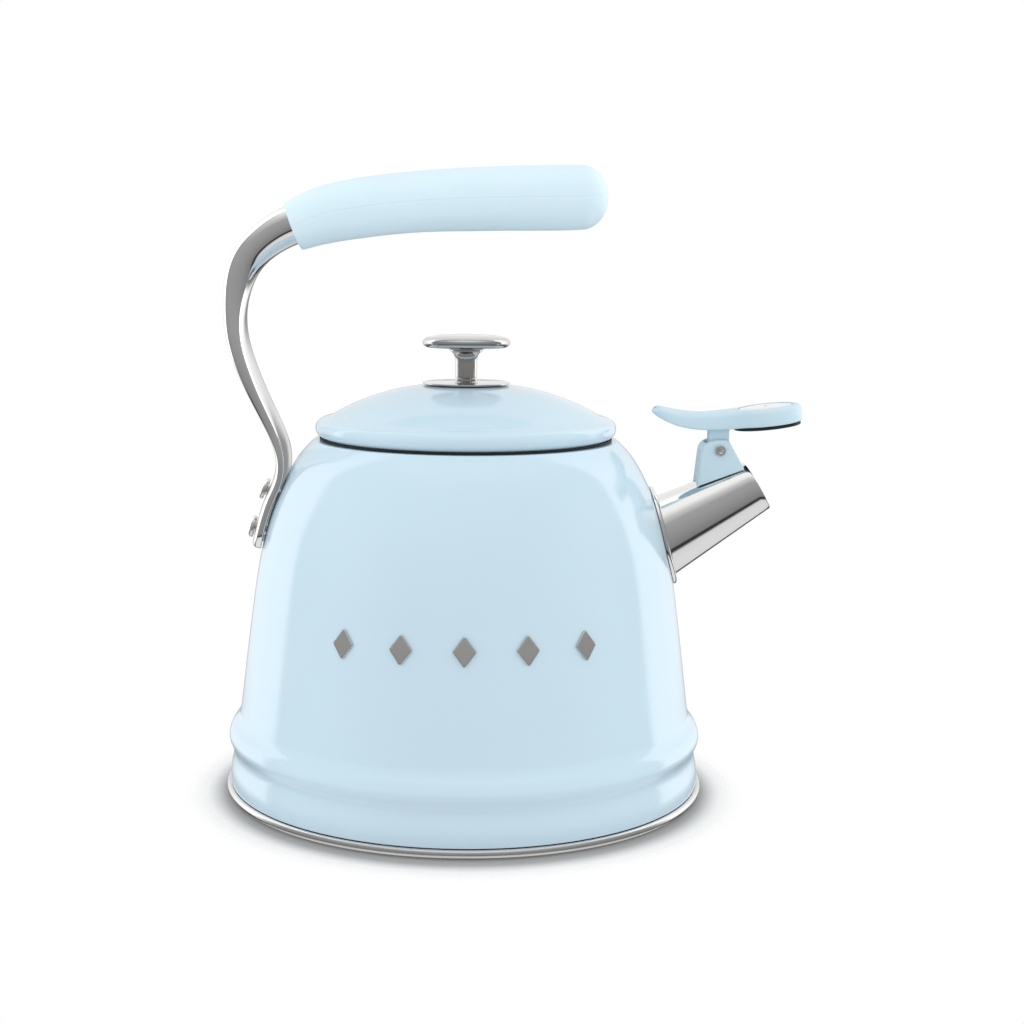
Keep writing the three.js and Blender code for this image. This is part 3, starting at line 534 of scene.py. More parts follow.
def polish_group(title):
    """Faint buffing marks, drawn out along one way."""
    group, given, out = new_group(
        title,
        [("Stretch", "NodeSocketVector", (60, 900, 900)), ("Smoothest", "NodeSocketFloat", 0.05),
         ("Roughest", "NodeSocketFloat", 0.14)],
        [("Roughness", "NodeSocketFloat"), ("Height", "NodeSocketFloat")])
    place = group.nodes.new("ShaderNodeTexCoord")
    drawn_out = group.nodes.new("ShaderNodeVectorMath")
    drawn_out.operation = "MULTIPLY"
    group.links.new(place.outputs["Object"], drawn_out.inputs[0])
    group.links.new(given.outputs["Stretch"], drawn_out.inputs[1])
    marks = group.nodes.new("ShaderNodeTexNoise")
    marks.inputs["Scale"].default_value = 1
    marks.inputs["Detail"].default_value = 5
    group.links.new(drawn_out.outputs[0], marks.inputs["Vector"])
    value = spread(group, marks.outputs["Fac"], 0.3, 0.75, given.outputs["Smoothest"],
                   given.outputs["Roughest"])
    group.links.new(value, out.inputs["Roughness"])
    group.links.new(marks.outputs["Fac"], out.inputs["Height"])
    return group


def lathe_group(title):
    """Rings left by turning, about an axis through a centre."""
    group, given, out = new_group(
        title,
        [("Centre", "NodeSocketVector", (0, 0, 0)), ("Axis", "NodeSocketVector", (0, 0, 1)),
         ("Rings", "NodeSocketFloat", 2500)],
        [("Height", "NodeSocketFloat")])

    def step(operation, first, second):
        """One vector step, fed by one or two sockets."""
        made = group.nodes.new("ShaderNodeVectorMath")
        made.operation = operation
        group.links.new(first, made.inputs[0])
        if second is not None:
            group.links.new(second, made.inputs["Scale" if operation == "SCALE" else 1])
        return made

    place = group.nodes.new("ShaderNodeTexCoord")
    from_centre = step("SUBTRACT", place.outputs["Object"], given.outputs["Centre"])
    along = step("DOT_PRODUCT", from_centre.outputs[0], given.outputs["Axis"])
    up = step("SCALE", given.outputs["Axis"], along.outputs["Value"])
    flat = step("SUBTRACT", from_centre.outputs[0], up.outputs[0])
    radius = step("LENGTH", flat.outputs[0], None)
    rings = group.nodes.new("ShaderNodeTexNoise")
    rings.noise_dimensions = "1D"
    rings.inputs["Detail"].default_value = 4
    group.links.new(radius.outputs["Value"], rings.inputs["W"])
    group.links.new(given.outputs["Rings"], rings.inputs["Scale"])
    group.links.new(rings.outputs["Fac"], out.inputs["Height"])
    return group


GROUPS = {"tone": ("Uneven Tone", tone_group), "gloss": ("Uneven Gloss", gloss_group),
          "grain": ("Fine Grain", grain_group), "polish": ("Buffing Marks", polish_group),
          "lathe": ("Turning Rings", lathe_group)}


def placed_group(tree, kind, **values):
    """A shared shader group placed in a material with its own values."""
    title, build = GROUPS[kind]
    made = tree.nodes.new("ShaderNodeGroup")
    made.node_tree = bpy.data.node_groups.get(title) or build(title)
    for label, value in values.items():
        made.inputs[label].default_value = value
    return made


def bumped(tree, shader, height, distance, strength=1.0):
    """Feeds a height to a shader's normal, with its depth in metres."""
    bump = tree.nodes.new("ShaderNodeBump")
    bump.inputs["Distance"].default_value = distance
    bump.inputs["Strength"].default_value = strength
    tree.links.new(height, bump.inputs["Height"])
    tree.links.new(bump.outputs["Normal"], shader.inputs["Normal"])
    return bump


def new_material(name):
    """An empty node material and its Principled shader."""
    made = bpy.data.materials.new(name)
    made.use_nodes = True
    return made, made.node_tree, made.node_tree.nodes["Principled BSDF"]


# ---- Materials ----

def enamel(name):
    """Glossy fired enamel with a faint orange peel."""
    made, tree, shader = new_material(name)
    tone = placed_group(tree, "tone", Colour=(*tint("enamel"), 1), Scale=14, Amount=0.03)
    gloss = placed_group(tree, "gloss", Scale=45, Smoothest=0.10, Roughest=0.17)
    peel = placed_group(tree, "grain", Scale=180, Softness=0.35)
    tree.links.new(tone.outputs["Colour"], shader.inputs["Base Color"])
    tree.links.new(gloss.outputs["Roughness"], shader.inputs["Roughness"])
    bumped(tree, shader, peel.outputs["Height"], 0.00002)
    shader.inputs["IOR"].default_value = 1.52
    return made


def moulded_plastic(name, finish="plastic"):
    """Satin moulded plastic with a spark-eroded grain."""
    made, tree, shader = new_material(name)
    tone = placed_group(tree, "tone", Colour=(*tint(finish), 1), Scale=35, Amount=0.03)
    gloss = placed_group(tree, "gloss", Scale=160, Smoothest=0.34, Roughest=0.44)
    grain = placed_group(tree, "grain", Scale=2600, Softness=0.6)
    tree.links.new(tone.outputs["Colour"], shader.inputs["Base Color"])
    tree.links.new(gloss.outputs["Roughness"], shader.inputs["Roughness"])
    bumped(tree, shader, grain.outputs["Height"], 0.00001)
    shader.inputs["IOR"].default_value = 1.49
    return made


def polished_steel(name, stretch=(60, 900, 900), finish="polished", gloss=(0.05, 0.12)):
    """Mirror-polished steel with faint buffing marks."""
    made, tree, shader = new_material(name)
    tone = placed_group(tree, "tone", Colour=(*tint(finish), 1), Scale=25, Amount=0.03)
    marks = placed_group(tree, "polish", Stretch=stretch, Smoothest=gloss[0],
                         Roughest=gloss[1])
    tree.links.new(tone.outputs["Colour"], shader.inputs["Base Color"])
    tree.links.new(marks.outputs["Roughness"], shader.inputs["Roughness"])
    bumped(tree, shader, marks.outputs["Height"], 0.0000008)
    shader.inputs["Metallic"].default_value = 1
    return made


def satin_steel(name, centre=(0, 0, 0), axis=(0, 0, 1), rings=2500):
    """Satin steel with turning rings about an axis."""
    made, tree, shader = new_material(name)
    tone = placed_group(tree, "tone", Colour=(*tint("satin"), 1), Scale=60, Amount=0.06)
    gloss = placed_group(tree, "gloss", Scale=300, Smoothest=0.24, Roughest=0.34)
    lines = placed_group(tree, "lathe", Centre=centre, Axis=axis, Rings=rings)
    tree.links.new(tone.outputs["Colour"], shader.inputs["Base Color"])
    tree.links.new(gloss.outputs["Roughness"], shader.inputs["Roughness"])
    bumped(tree, shader, lines.outputs["Height"], 0.00002)
    shader.inputs["Metallic"].default_value = 1
    return made


def cast_aluminium(name):
    """Plain aluminium of the base core."""
    made, tree, shader = new_material(name)
    tone = placed_group(tree, "tone", Colour=(*tint("core"), 1), Scale=80, Amount=0.08)
    gloss = placed_group(tree, "gloss", Scale=400, Smoothest=0.4, Roughest=0.55)
    tree.links.new(tone.outputs["Colour"], shader.inputs["Base Color"])
    tree.links.new(gloss.outputs["Roughness"], shader.inputs["Roughness"])
    shader.inputs["Metallic"].default_value = 1
    return made


def black_rubber(name):
    """Matt silicone rubber."""
    made, tree, shader = new_material(name)
    tone = placed_group(tree, "tone", Colour=(*tint("rubber"), 1), Scale=200, Amount=0.2)
    gloss = placed_group(tree, "gloss", Scale=500, Smoothest=0.55, Roughest=0.7)
    grain = placed_group(tree, "grain", Scale=3000, Softness=0.6)
    tree.links.new(tone.outputs["Colour"], shader.inputs["Base Color"])
    tree.links.new(gloss.outputs["Roughness"], shader.inputs["Roughness"])
    bumped(tree, shader, grain.outputs["Height"], 0.00001)
    return made


def surface(title, build, **values):
    """A material by name, built the first time it is asked for."""
    return bpy.data.materials.get(title) or build(title, **values)


def blue_enamel():
    """The enamel of the vessel and the lid."""
    return surface("Enamel", enamel)


def blue_plastic():
    """The plastic of the lever and the bracket."""
    return surface("Moulded Plastic", moulded_plastic)


def mirror_steel():
    """The polished steel of the spout and its collar."""
    return surface("Polished Steel", polished_steel)


def turned_steel():
    """The satin steel of the turned parts."""
    return surface("Satin Steel", satin_steel)


def seal_rubber():
    """The rubber of the seal and the gasket."""
    return surface("Silicone Rubber", black_rubber)


# ---- Vessel and base ----

def vessel_shell():
    """Enamelled vessel with its rolled foot ribs, level lid seat and turned-down collar."""
    wall, mouth_r, seat_z = size("wall"), size("mouth_radius"), size("seat_height")
    outer = [tuple(point) for point in wall_curve()]
    inner = [tuple(point) for point in wall_curve(-wall)][::-4]
    collar_z = seat_z - 4
    seat = filleted([
        outer[-2], (mouth_r + SEAT_WIDTH, seat_z, 0.6), (mouth_r, seat_z, 1.3),
        (mouth_r, collar_z, 0.5), (mouth_r + wall, collar_z, 0.5),
        (mouth_r + wall, seat_z - wall, 0.4), inner[0]], closed=False)
    made = turned("vessel_shell", outer[:-1] + seat[1:] + inner[1:])
    hole = spout_radius(0, wall)
    return carved(made, [tube_between("pour_hole", SPOUT_ROOT - SPOUT_WAY * 12,
                                      SPOUT_ROOT + SPOUT_WAY * 12, hole, hole, 128)])


def base_rim():
    """Brushed steel base: a rounded rim, the floor, and a lip inside the wall."""
    foot_r = size("foot_radius")
    rim_r, lip_r, recess_r = foot_r + 1.7, foot_r - 1.6, foot_r - 6.2
    edge, rest_z, pan_z, lip_z = 1.55, 0.1, 5.2, 8
    rim = arc(rim_r - edge, rest_z + edge, edge, -90, 90, 14)
    corners = [(0, pan_z), (recess_r, pan_z, 0.6), (recess_r + 0.8, rest_z, 0.5)]
    inside = [(lip_r, 3.2, 0.3), (lip_r, lip_z, 0.4), (lip_r - 1, lip_z, 0.4),
              (lip_r - 2, pan_z + 1, 0.8), (0, pan_z + 1)]
    return turned("base_rim", filleted([*corners, *rim, *inside], closed=False))


def base_cover():
    """Cover of the heat-spreading core, with a shallow ring pressed into its face."""
    r, high, thick = size("foot_radius") - 6.8, 4.5, 1
    ring_in, ring_out, ring_deep = 26, 34, 0.35
    face = [(0, 0), (ring_in, 0, 1), (ring_in + 1, ring_deep, 1), (ring_out - 1, ring_deep, 1),
            (ring_out, 0, 1), (r, 0, 1.2), (r, high, 0.4), (r - thick, high, 0.4),
            (r - thick, thick, 0.5), (0, thick)]
    return turned("base_cover", filleted(face, closed=False))


TRIM_COUNT = 5
TRIM_HEIGHT = 71.6
TRIM_PITCH = math.radians(15.5)


def trim_lozenge(index, turn):
    """One plain steel lozenge that follows the wall, with softened edges."""
    half_w, half_h, thick, edge = 4.2, 5.6, 0.5, 0.18
    corners = filleted([(half_w, 0, 0.5), (0, half_h, 0.5), (-half_w, 0, 0.5),
                        (0, -half_h, 0.5)], steps=4)
    rim = evenly(np.array([*corners, corners[0]]), 0.45)[:-1]
    levels = [(0.0, FIT), (0.0, FIT + thick - edge)]
    levels += [(edge * (1 - math.cos(a)), FIT + thick - edge * (1 - math.sin(a)))
               for a in (0.5, 1.0, math.pi / 2)]
    levels += [(half_w * share, FIT + thick) for share in (0.25, 0.5, 0.75)]
    rings = []
    for inset, lift in levels:
        share = 1 - inset / half_w
        ring = []
        for u, v in rim * share:
            height = TRIM_HEIGHT + v
            radius = float(wall_radius(height, lift))
            angle = turn - math.pi / 2 + u / radius
            ring.append((radius * math.cos(angle), radius * math.sin(angle), height))
        rings.append(ring)
    return skin(f"trim_lozenge_{index}", rings)


# ---- Lid and knob ----

GASKET_THICK = 0.6
SCREW_HOLE_R = 2.3
KNOB_PLATE_THICK = 0.6
KNOB_RING_THICK = 1.1
KNOB_STEM_R = 4.2


def lid_outline(inward):
    """Line of the lid from its centre to the underside of its rolled edge."""
    seat_z, roll_r = size("seat_height"), 3.5
    lid_r = size("mouth_radius") + SEAT_WIDTH - 0.4
    top_z, crease_r = seat_z + size("lid_rise"), lid_r - 6.1
    roll_z = seat_z + 2 * FIT + GASKET_THICK + roll_r
    shares = [(0, 0), (0.2, 0.003), (0.32, 0.03), (0.53, 0.175), (0.72, 0.426), (0.88, 0.705),
              (1, 1)]
    dome = spline([(crease_r * a, top_z - (top_z - roll_z - 4.3) * b) for a, b in shares], 12)
    dome = eased(dome, 25)
    roll = [(x, z if z > roll_z else roll_z + (z - roll_z) * 1.1)
            for x, z in arc(lid_r - roll_r, roll_z, roll_r, 62, -80, 18)]
    line = evenly(np.array([*dome, *roll]), 0.7)
    bend = np.abs(line[:, 0] - crease_r - 1) < 7
    soft = eased(line, 2)
    line[bend] = soft[bend]
    line[0, 0] = 0
    moved = offset(line, inward) if inward else line
    moved[0] = (0, line[0, 1] - inward)
    return [tuple(point) for point in moved]


def lid_dome():
    """Enamelled dome of the lid with a soft crease above its rolled edge."""
    wall = size("wall")
    outer = lid_outline(0)
    inner = lid_outline(wall)[::-1]
    shell, under = ([point for point in side if point[0] > SCREW_HOLE_R + 0.2]
                    for side in (outer, inner))
    top, bottom = (SCREW_HOLE_R, outer[0][1]), (SCREW_HOLE_R, inner[-1][1])
    return turned("lid_dome", [top, *shell, *under, bottom])


def lid_liner():
    """Steel pan under the lid that drops into the filling hole."""
    seat_z, mouth_r = size("seat_height"), size("mouth_radius")
    skirt_r, bottom, flange_r = mouth_r - 1.2, seat_z - 4.6, mouth_r + 4.1
    top = seat_z + 2 * FIT + GASKET_THICK
    corners = [(0, bottom), (skirt_r, bottom, 1.8), (skirt_r, top, 0.4),
               (flange_r, top, 0.3), (flange_r, top + 1, 0.3), (skirt_r - 1, top + 1, 0.6),
               (skirt_r - 1, bottom + 1, 1.2), (0, bottom + 1)]
    return turned("lid_liner", filleted(corners, closed=False))


def lid_seal():
    """Flat rubber ring between the lid and its seat."""
    low = size("seat_height") + FIT
    inner, outer = size("mouth_radius") + 0.6, size("mouth_radius") + 6.8
    return turned("lid_seal", filleted([(inner, low, 0.2), (outer, low, 0.2),
                                        (outer, low + GASKET_THICK, 0.2),
                                        (inner, low + GASKET_THICK, 0.2)], 3))


def knob_levels():
    """Heights of the knob's plate, collar, stem and cap."""
    top = size("seat_height") + size("lid_rise")
    plate_z = top + FIT
    collar_z = plate_z + KNOB_PLATE_THICK + FIT
    return plate_z, collar_z, collar_z + KNOB_RING_THICK + FIT, top + 13.8


def knob_disc():
    """Thin bright plate that lies under the knob."""
    plate_z, r = knob_levels()[0], size("knob_radius")
    return turned("knob_disc", filleted([
        (SCREW_HOLE_R, plate_z), (r, plate_z, 0.25), (r, plate_z + KNOB_PLATE_THICK, 0.3),
        (SCREW_HOLE_R, plate_z + KNOB_PLATE_THICK)], 4))


def knob_ring():
    """Small ring between the plate and the stem."""
    low, r = knob_levels()[1], KNOB_STEM_R + 0.3
    return turned("knob_ring", filleted([
        (SCREW_HOLE_R, low), (r, low, 0.3), (r, low + KNOB_RING_THICK, 0.3),
        (SCREW_HOLE_R, low + KNOB_RING_THICK)], 4), 96)


def knob_neck():
    """Waisted stem that flares under the cap."""
    low, cap_z = knob_levels()[2:]
    top, flare_r, thread_z = cap_z - FIT, 6.5, low + 6.3
    flare = bezier([(KNOB_STEM_R, top - 5.5), (KNOB_STEM_R, top - 1.2), (flare_r, top - 0.6)], 11)
    corners = [(0, thread_z), (SCREW_HOLE_R, thread_z), (SCREW_HOLE_R, low),
               (KNOB_STEM_R, low, 0.25), *flare, (flare_r, top, 0.2), (0, top)]
    return turned("knob_neck", filleted(corners, closed=False), 96)


def knob_top():
    """Shallow polished cap with a full round rim."""
    cap_z, r = knob_levels()[3], size("knob_radius")
    high, edge = 5.4, 2.1
    under = [(0, cap_z), (7.5, cap_z, 0.5), (r - 4, cap_z + 0.4, 2)]
    rim = arc(r - edge, cap_z + 0.5 + edge, edge, -75, 0, 7)
    rim += arc(r - edge, cap_z + high - 1.0 - edge, edge, 6, 78, 8)
    crown = [(r * 0.72, cap_z + high - 0.42), (r * 0.5, cap_z + high - 0.16),
             (r * 0.25, cap_z + high - 0.03), (0, cap_z + high)]
    return turned("knob_top", filleted([*under, *rim, *crown], closed=False))


# ---- Spout ----

def spout_ring(inset, along, steps=144):
    """Ring of the spout, at a distance along it for each angle."""
    ring = []
    for j in range(steps):
        angle = 2 * math.pi * j / steps
        side = SPOUT_UP * math.cos(angle) + Vector((0, math.sin(angle), 0))
        reach = along(side)
        ring.append(SPOUT_ROOT + SPOUT_WAY * reach + side * spout_radius(reach, inset))
    return ring


def mouth_reach(inset, short):
    """Finds the distance along the spout to its cut mouth, less a little, on any side."""
    slope = (size("spout_tip_radius") - size("spout_root_radius")) / size("spout_length")
    away = (SPOUT_ROOT - spout_mouth()).dot(MOUTH_WAY)

    def reach(side):
        """Distance on one side."""
        across = side.dot(MOUTH_WAY)
        return -(away + across * spout_radius(0, inset)) / (
            SPOUT_WAY.dot(MOUTH_WAY) + slope * across) - short
    return reach


def wall_reach(inset):
    """Finds the distance along the spout to the outside of the vessel wall, on any side."""
    def reach(side):
        """Distance on one side."""
        low, high = -13.0, 13.0
        for _ in range(30):
            middle = (low + high) / 2
            x, y, z = SPOUT_ROOT + SPOUT_WAY * middle + side * spout_radius(middle, inset)
            inside = math.hypot(x, y) < wall_radius(z, FIT)
            low, high = (middle, high) if inside else (low, middle)
        return high
    return reach


def spout_pipe():
    """Tapered polished spout with a softly rounded rim at its cut mouth."""
    wall = size("wall")
    rings = []
    outer_start, outer_stop = wall_reach(0), mouth_reach(0, 0.45)
    inner_start, inner_stop = wall_reach(wall), mouth_reach(wall, 0.45)
    shares = np.linspace(0, 1, 26)
    for share in shares:
        rings.append(spout_ring(0, lambda side, s=share: outer_start(side) * (1 - s)
                                + outer_stop(side) * s))
    for inset, short in ((0.06, 0.2), (0.2, 0.05), (0.45, 0), (0.75, 0), (1.0, 0.05),
                         (1.14, 0.2)):
        rings.append(spout_ring(inset, mouth_reach(inset, short)))
    for share in shares[::-1]:
        rings.append(spout_ring(wall, lambda side, s=share: inner_start(side) * (1 - s)
                                + inner_stop(side) * s))
    return skin("spout_pipe", rings, looped=True)


def spout_collar():
    """Oval steel collar that follows the wall round the foot of the spout."""
    half_h, half_w = size("spout_root_radius") + 4.44, size("spout_root_radius") + 3.34
    tilt = 0.2326
    out = Vector((math.cos(tilt), 0, math.sin(tilt)))
    up = Vector((-math.sin(tilt), 0, math.cos(tilt)))
    hole = spout_ring(-FIT, wall_reach(-FIT))
    inner = np.array([((p - SPOUT_ROOT).dot(up), p.y) for p in hole])
    angles = np.arctan2(inner[:, 1] / half_w, inner[:, 0] / half_h)
    outer = np.stack([half_h * np.cos(angles), half_w * np.sin(angles)], 1)
    thick = 1.3
    levels = [(0, 0), (0, 0.8), (0.02, 1), (0.25, 1), (0.5, 1), (0.72, 0.97), (0.86, 0.88),
              (0.94, 0.72), (0.985, 0.5), (1, 0.25), (1, 0), (0.5, 0)]
    rings = []
    for share, lift in levels:
        flat = inner * (1 - share) + outer * share
        starts = [SPOUT_ROOT + up * a + Vector((0, b, 0)) for a, b in flat]
        rings.append(onto_wall(starts, out, round(FIT + thick * lift, 3)))
    return skin("spout_collar", rings, looped=True)


# ---- Whistle ----

PIN_HOLE_R = 1.8
BLOW_HOLE_R = 1.6
DISC_OUT = 20.0
SEAL_LOW = 6.45
DISC_LOW = SEAL_LOW + 1.3
DISC_TOP = SEAL_LOW + 8.0
REED_LOW = DISC_LOW + 3.2


def upright(x=0.0, z=0.0):
    """Carries a plan drawn in X and Y, and its height, into the kettle's middle plane."""
    return Matrix(((1, 0, 0, x), (0, 0, 1, 0), (0, 1, 0, z), (0, 0, 0, 1)))


def tilted():
    """Carries the whistle, drawn level about its pivot, to its place when open."""
    return Matrix.Translation(Vector(PIVOT)) @ Matrix.Rotation(-DISC_TILT, 4, "Y")


def spout_saddle_point(back, half):
    """Point on top of the spout under a cheek of the bracket, from the pivot."""
    radius = spout_radius(size("spout_length") - back)
    point = spout_mouth() - SPOUT_WAY * back + SPOUT_UP * math.sqrt(radius ** 2 - half ** 2)
    return point.x - PIVOT[0], point.z - PIVOT[2]


def pin_way():
    """The pin's hole as a cutting tool."""
    ends = [(PIVOT[0], side, PIVOT[2]) for side in (-9, 9)]
    return tube_between("pin_way", *ends, PIN_HOLE_R, PIN_HOLE_R, 48)


def inlay_radius():
    """Radius of the disc's steel inlay."""
    return size("disc_radius") - 3.4


def clevis():
    """Moulded bracket that straddles the spout and holds the pin."""
    half, cheek_in = 6.5, 4.3
    corner = [spout_saddle_point(21.7, half), spout_saddle_point(1.9, half)]
    outline = [*corner, *bezier([(3.7, 3.2), (3.2, 4.0), (2.2, 4.0)], 5),
               *bezier([(-1.6, 3.9), (-6.3, 3.3), (-7.1, 0.2)], 10)]
    outline = evenly(np.array([*outline, outline[0]]), 0.8)[:-1]
    middle = upright(PIVOT[0], PIVOT[2])
    made = plate("clevis", outline, -half, half, 0.7, middle)
    slot_z, slot_back = -4.3, -5.4
    slot = [(14, 9), (slot_back, 9),
            *bezier([(slot_back, slot_z + 2.4), (slot_back, slot_z), (-3, slot_z)], 6),
            (14, slot_z)]
    tools = [plate("slot", slot, -cheek_in, cheek_in, 0.01, middle, 1),
             spout_cone("saddle", FIT),
             pin_way()]
    return carved(made, tools)


def hinge_pin():
    """Turned pin with a dimpled head at each end."""
    end, head = 6.8, 0.8
    side = [(0, end + 0.35), (0.7, end + 0.4), (1.15, end + head), (2.1, end + head, 0.35),
            (2.1, end, 0.15), (1.5, end)]
    half = filleted(side, 4, closed=False)
    outline = [(r, -z) for r, z in half] + half[::-1]
    turn = Matrix.Translation(Vector(PIVOT)) @ Matrix.Rotation(-math.pi / 2, 4, "X")
    return turned("hinge_pin", outline, 64, turn)


def lever_plan():
    """Half of the lever's plan outline, from the far side of the disc to the end of the tail."""
    disc_r, half_w = size("disc_radius"), 7.5
    join = math.radians(132)
    line = [(DISC_OUT + disc_r * math.cos(a), disc_r * math.sin(a))
            for a in np.linspace(0, join, 60)]
    x, y = line[-1]
    line += bezier([(x, y), (x - 4, half_w), (x - 9, half_w)], 16)[1:]
    line += bezier([(-18, half_w), (-24, half_w - 0.5), (-24, 0)], 24)
    return evenly(np.array(line), 0.25)


def lever_sides():
    """Top and bottom lines of the lever, seen from the side."""
    top = [(DISC_OUT + 15, DISC_TOP), *bezier([(8.4, DISC_TOP), (0, DISC_TOP),
           (-7, DISC_TOP + 0.3), (-16.8, DISC_TOP + 3.6)], 30),
           *bezier([(-20.9, DISC_TOP + 5), (-23.4, DISC_TOP + 5.3), (-23.9, DISC_TOP + 4.2)], 8)]
    low = [(DISC_OUT + 15, DISC_LOW), *bezier([(6.4, DISC_LOW), (-10, DISC_LOW + 0.3),
           (-17, DISC_LOW + 3.6), (-23.0, DISC_TOP + 1.7)], 30), (-23.9, DISC_TOP + 2.6)]
    return np.array(top)[::-1], np.array(low)[::-1]


def lever_body():
    """Thumb tail, neck and disc in one sculpted skin."""
    plan = lever_plan()
    top_line, low_line = lever_sides()
    way = np.gradient(plan, axis=0)
    way /= np.linalg.norm(way, axis=1)[:, None]
    inward = np.stack([-way[:, 1], way[:, 0]], 1)
    far, near = plan[0, 0], plan[-1, 0]
    stations = [DISC_OUT + size("disc_radius") * math.cos(a)
                for a in np.linspace(0.02, math.radians(132), 56)]
    stations += list(np.linspace(stations[-1] - 0.7, -18, 44))
    stations += [-24 + 6 * (1 - t) ** 2 for t in np.linspace(0.08, 0.86, 18)]

    def row(x, level, edge, across, sign):
        """Points across the lever at a station, from one side to the other."""
        points = []
        for depth in [edge * share for share in (0, 0.04, 0.15, 0.35, 0.65, 1)]:
            line = plan + inward * depth
            order = np.argsort(line[:, 0])
            y = float(np.interp(x, line[order, 0], line[order, 1], left=0, right=0))
            reach = depth if y > 0 else min(far - x, x - near)
            drop = edge - math.sqrt(max(edge ** 2 - (edge - min(reach, edge)) ** 2, 0))
            points.append((max(y, 0), level - sign * drop))
        inner_y = points[-1][0]
        for share in (0.8, 0.6, 0.4, 0.2, 0):
            y = inner_y * share
            crown = across * (1 - share ** 2)
            points.append((y, points[5][1] + crown * sign))
        half = [(x, y, z) for y, z in points]
        return half + [(x, -y, z) for x, y, z in half[-2::-1]]

    rings = []
    for x in stations:
        top = float(np.interp(x, top_line[:, 0], top_line[:, 1]))
        low = float(np.interp(x, low_line[:, 0], low_line[:, 1]))
        deep = top - low
        crown = 0.7 * min(max((2 - x) / 14, 0), 1) * min(deep / 4, 1)
        over = row(x, top - crown, min(1.9, deep * 0.45), crown, 1)
        under = row(x, low, min(0.8, deep * 0.3), 0, -1)
        rings.append(over + under[::-1])
    place = tilted()
    rings = [[tuple(place @ Vector(point)) for point in ring] for ring in rings]
    return skin("whistle_arm", rings)


def disc_tool(name, radius, low, high):
    """Round cutting tool about the disc's centre."""
    place = tilted()
    return tube_between(name, place @ Vector((DISC_OUT, 0, low)),
                        place @ Vector((DISC_OUT, 0, high)), radius, radius, 96)


def whistle_arm():
    """Lever with its upright stem, open well and seat for the inlay."""
    made = lever_body()
    stem_r, stem_half = 3.8, 4.05
    outline = [*arc(0, 0, stem_r, 180, 360, 24), (stem_r, 9.4), (-stem_r, 9.4)]
    outline = evenly(np.array([*outline, outline[0]]), 0.7)[:-1]
    stem = plate("stem", outline, -stem_half, stem_half, 0.45, upright(PIVOT[0], PIVOT[2]))
    carved(made, [stem], "UNION")
    inlay_r = inlay_radius()
    tools = [disc_tool("well", inlay_r - 2.2, 0, DISC_TOP + 1),
             disc_tool("step", inlay_r - 1.0, REED_LOW, DISC_TOP + 1),
             disc_tool("seat", inlay_r + FIT, DISC_TOP - 1, DISC_TOP + 1),
             pin_way()]
    return carved(made, tools)


def on_disc():
    """Place of the disc's centre line."""
    return tilted() @ Matrix.Translation((DISC_OUT, 0, 0))


def whistle_cap():
    """Domed steel inlay with a blow hole in its middle."""
    low, r = DISC_TOP - 1 + FIT, inlay_radius()
    corners = [(BLOW_HOLE_R, low, 0.1), (r, low, 0.15), (r, low + 0.6, 0.3),
               (r * 0.72, low + 0.84, 3), (BLOW_HOLE_R + 0.3, low + 0.98, 0.3),
               (BLOW_HOLE_R, low + 0.75, 0.1)]
    return turned("whistle_cap", filleted(corners), 128, on_disc())


def whistle_reed():
    """Pierced plate in the whistle's well."""
    low, r = REED_LOW + FIT, inlay_radius() - 1.3
    corners = [(BLOW_HOLE_R, low, 0.1), (r, low, 0.1), (r, low + 0.6, 0.1),
               (BLOW_HOLE_R, low + 0.6, 0.1)]
    return turned("whistle_reed", filleted(corners, 2), 96, on_disc())


def mouth_seal():
    """Rubber ring that closes on the spout's mouth."""
    bore, r, top = 5.5, size("disc_radius") - 0.7, SEAL_LOW + 1
    corners = [(bore, SEAL_LOW, 0.3), (r, SEAL_LOW, 0.35), (r, top, 0.35), (bore, top, 0.3)]
    return turned("mouth_seal", filleted(corners, 4), 128, on_disc())


# ---- Handle ----

STRAP_THICK = 3.3
STRAP_PLACES = [(-81.807, 95.602), (-79.46, 105.482), (-75.997, 115.714), (-72.992, 121.6),
                (-71.773, 128.6)]
BAR_STATIONS = [
    (-73.115, 136.6, 3.7, 30.5), (-78.115, 148.6, 4.8, 28.5), (-83.915, 161.6, 6, 28.5),
    (-88.315, 174.6, 7.2, 25.5), (-89.315, 186.6, 8.6, 20), (-87.715, 198, 11.5, 17),
    (-83.815, 206.9, 13.4, 15.6), (-76.615, 213.7, 14.1, 15.5), (-68.215, 218.8, 15.4, 15.4),
    (-55.715, 222.5, 14.8, 14.8), (-40.715, 225.6, 14, 14), (-19.815, 228, 14, 14),
    (6.185, 229.3, 14, 14)]
GRIP_STATIONS = [
    (-66.615, 218.4, 19), (-55.715, 222.5, 21.6), (-40.715, 225.6, 22.8), (-19.815, 228, 23.1),
    (6.185, 229.3, 24.2), (35.185, 229.9, 24.7), (43.685, 230.1, 24.3)]
RIVET_PLACES = {"upper": ((-73.54, 0, 115.1), (-0.9169, 0, 0.3992)),
                "lower": ((-78.076, 0, 101.0), (-0.9714, 0, 0.2373))}


def ring_angles(count, extra=()):
    """Angles round a ring, with more of them beside both sides of it."""
    angles = [2 * math.pi * j / count for j in range(count)]
    for side in (0, math.pi):
        angles += [side + math.radians(each) for each in extra]
    return sorted(angle % (2 * math.pi) for angle in angles)


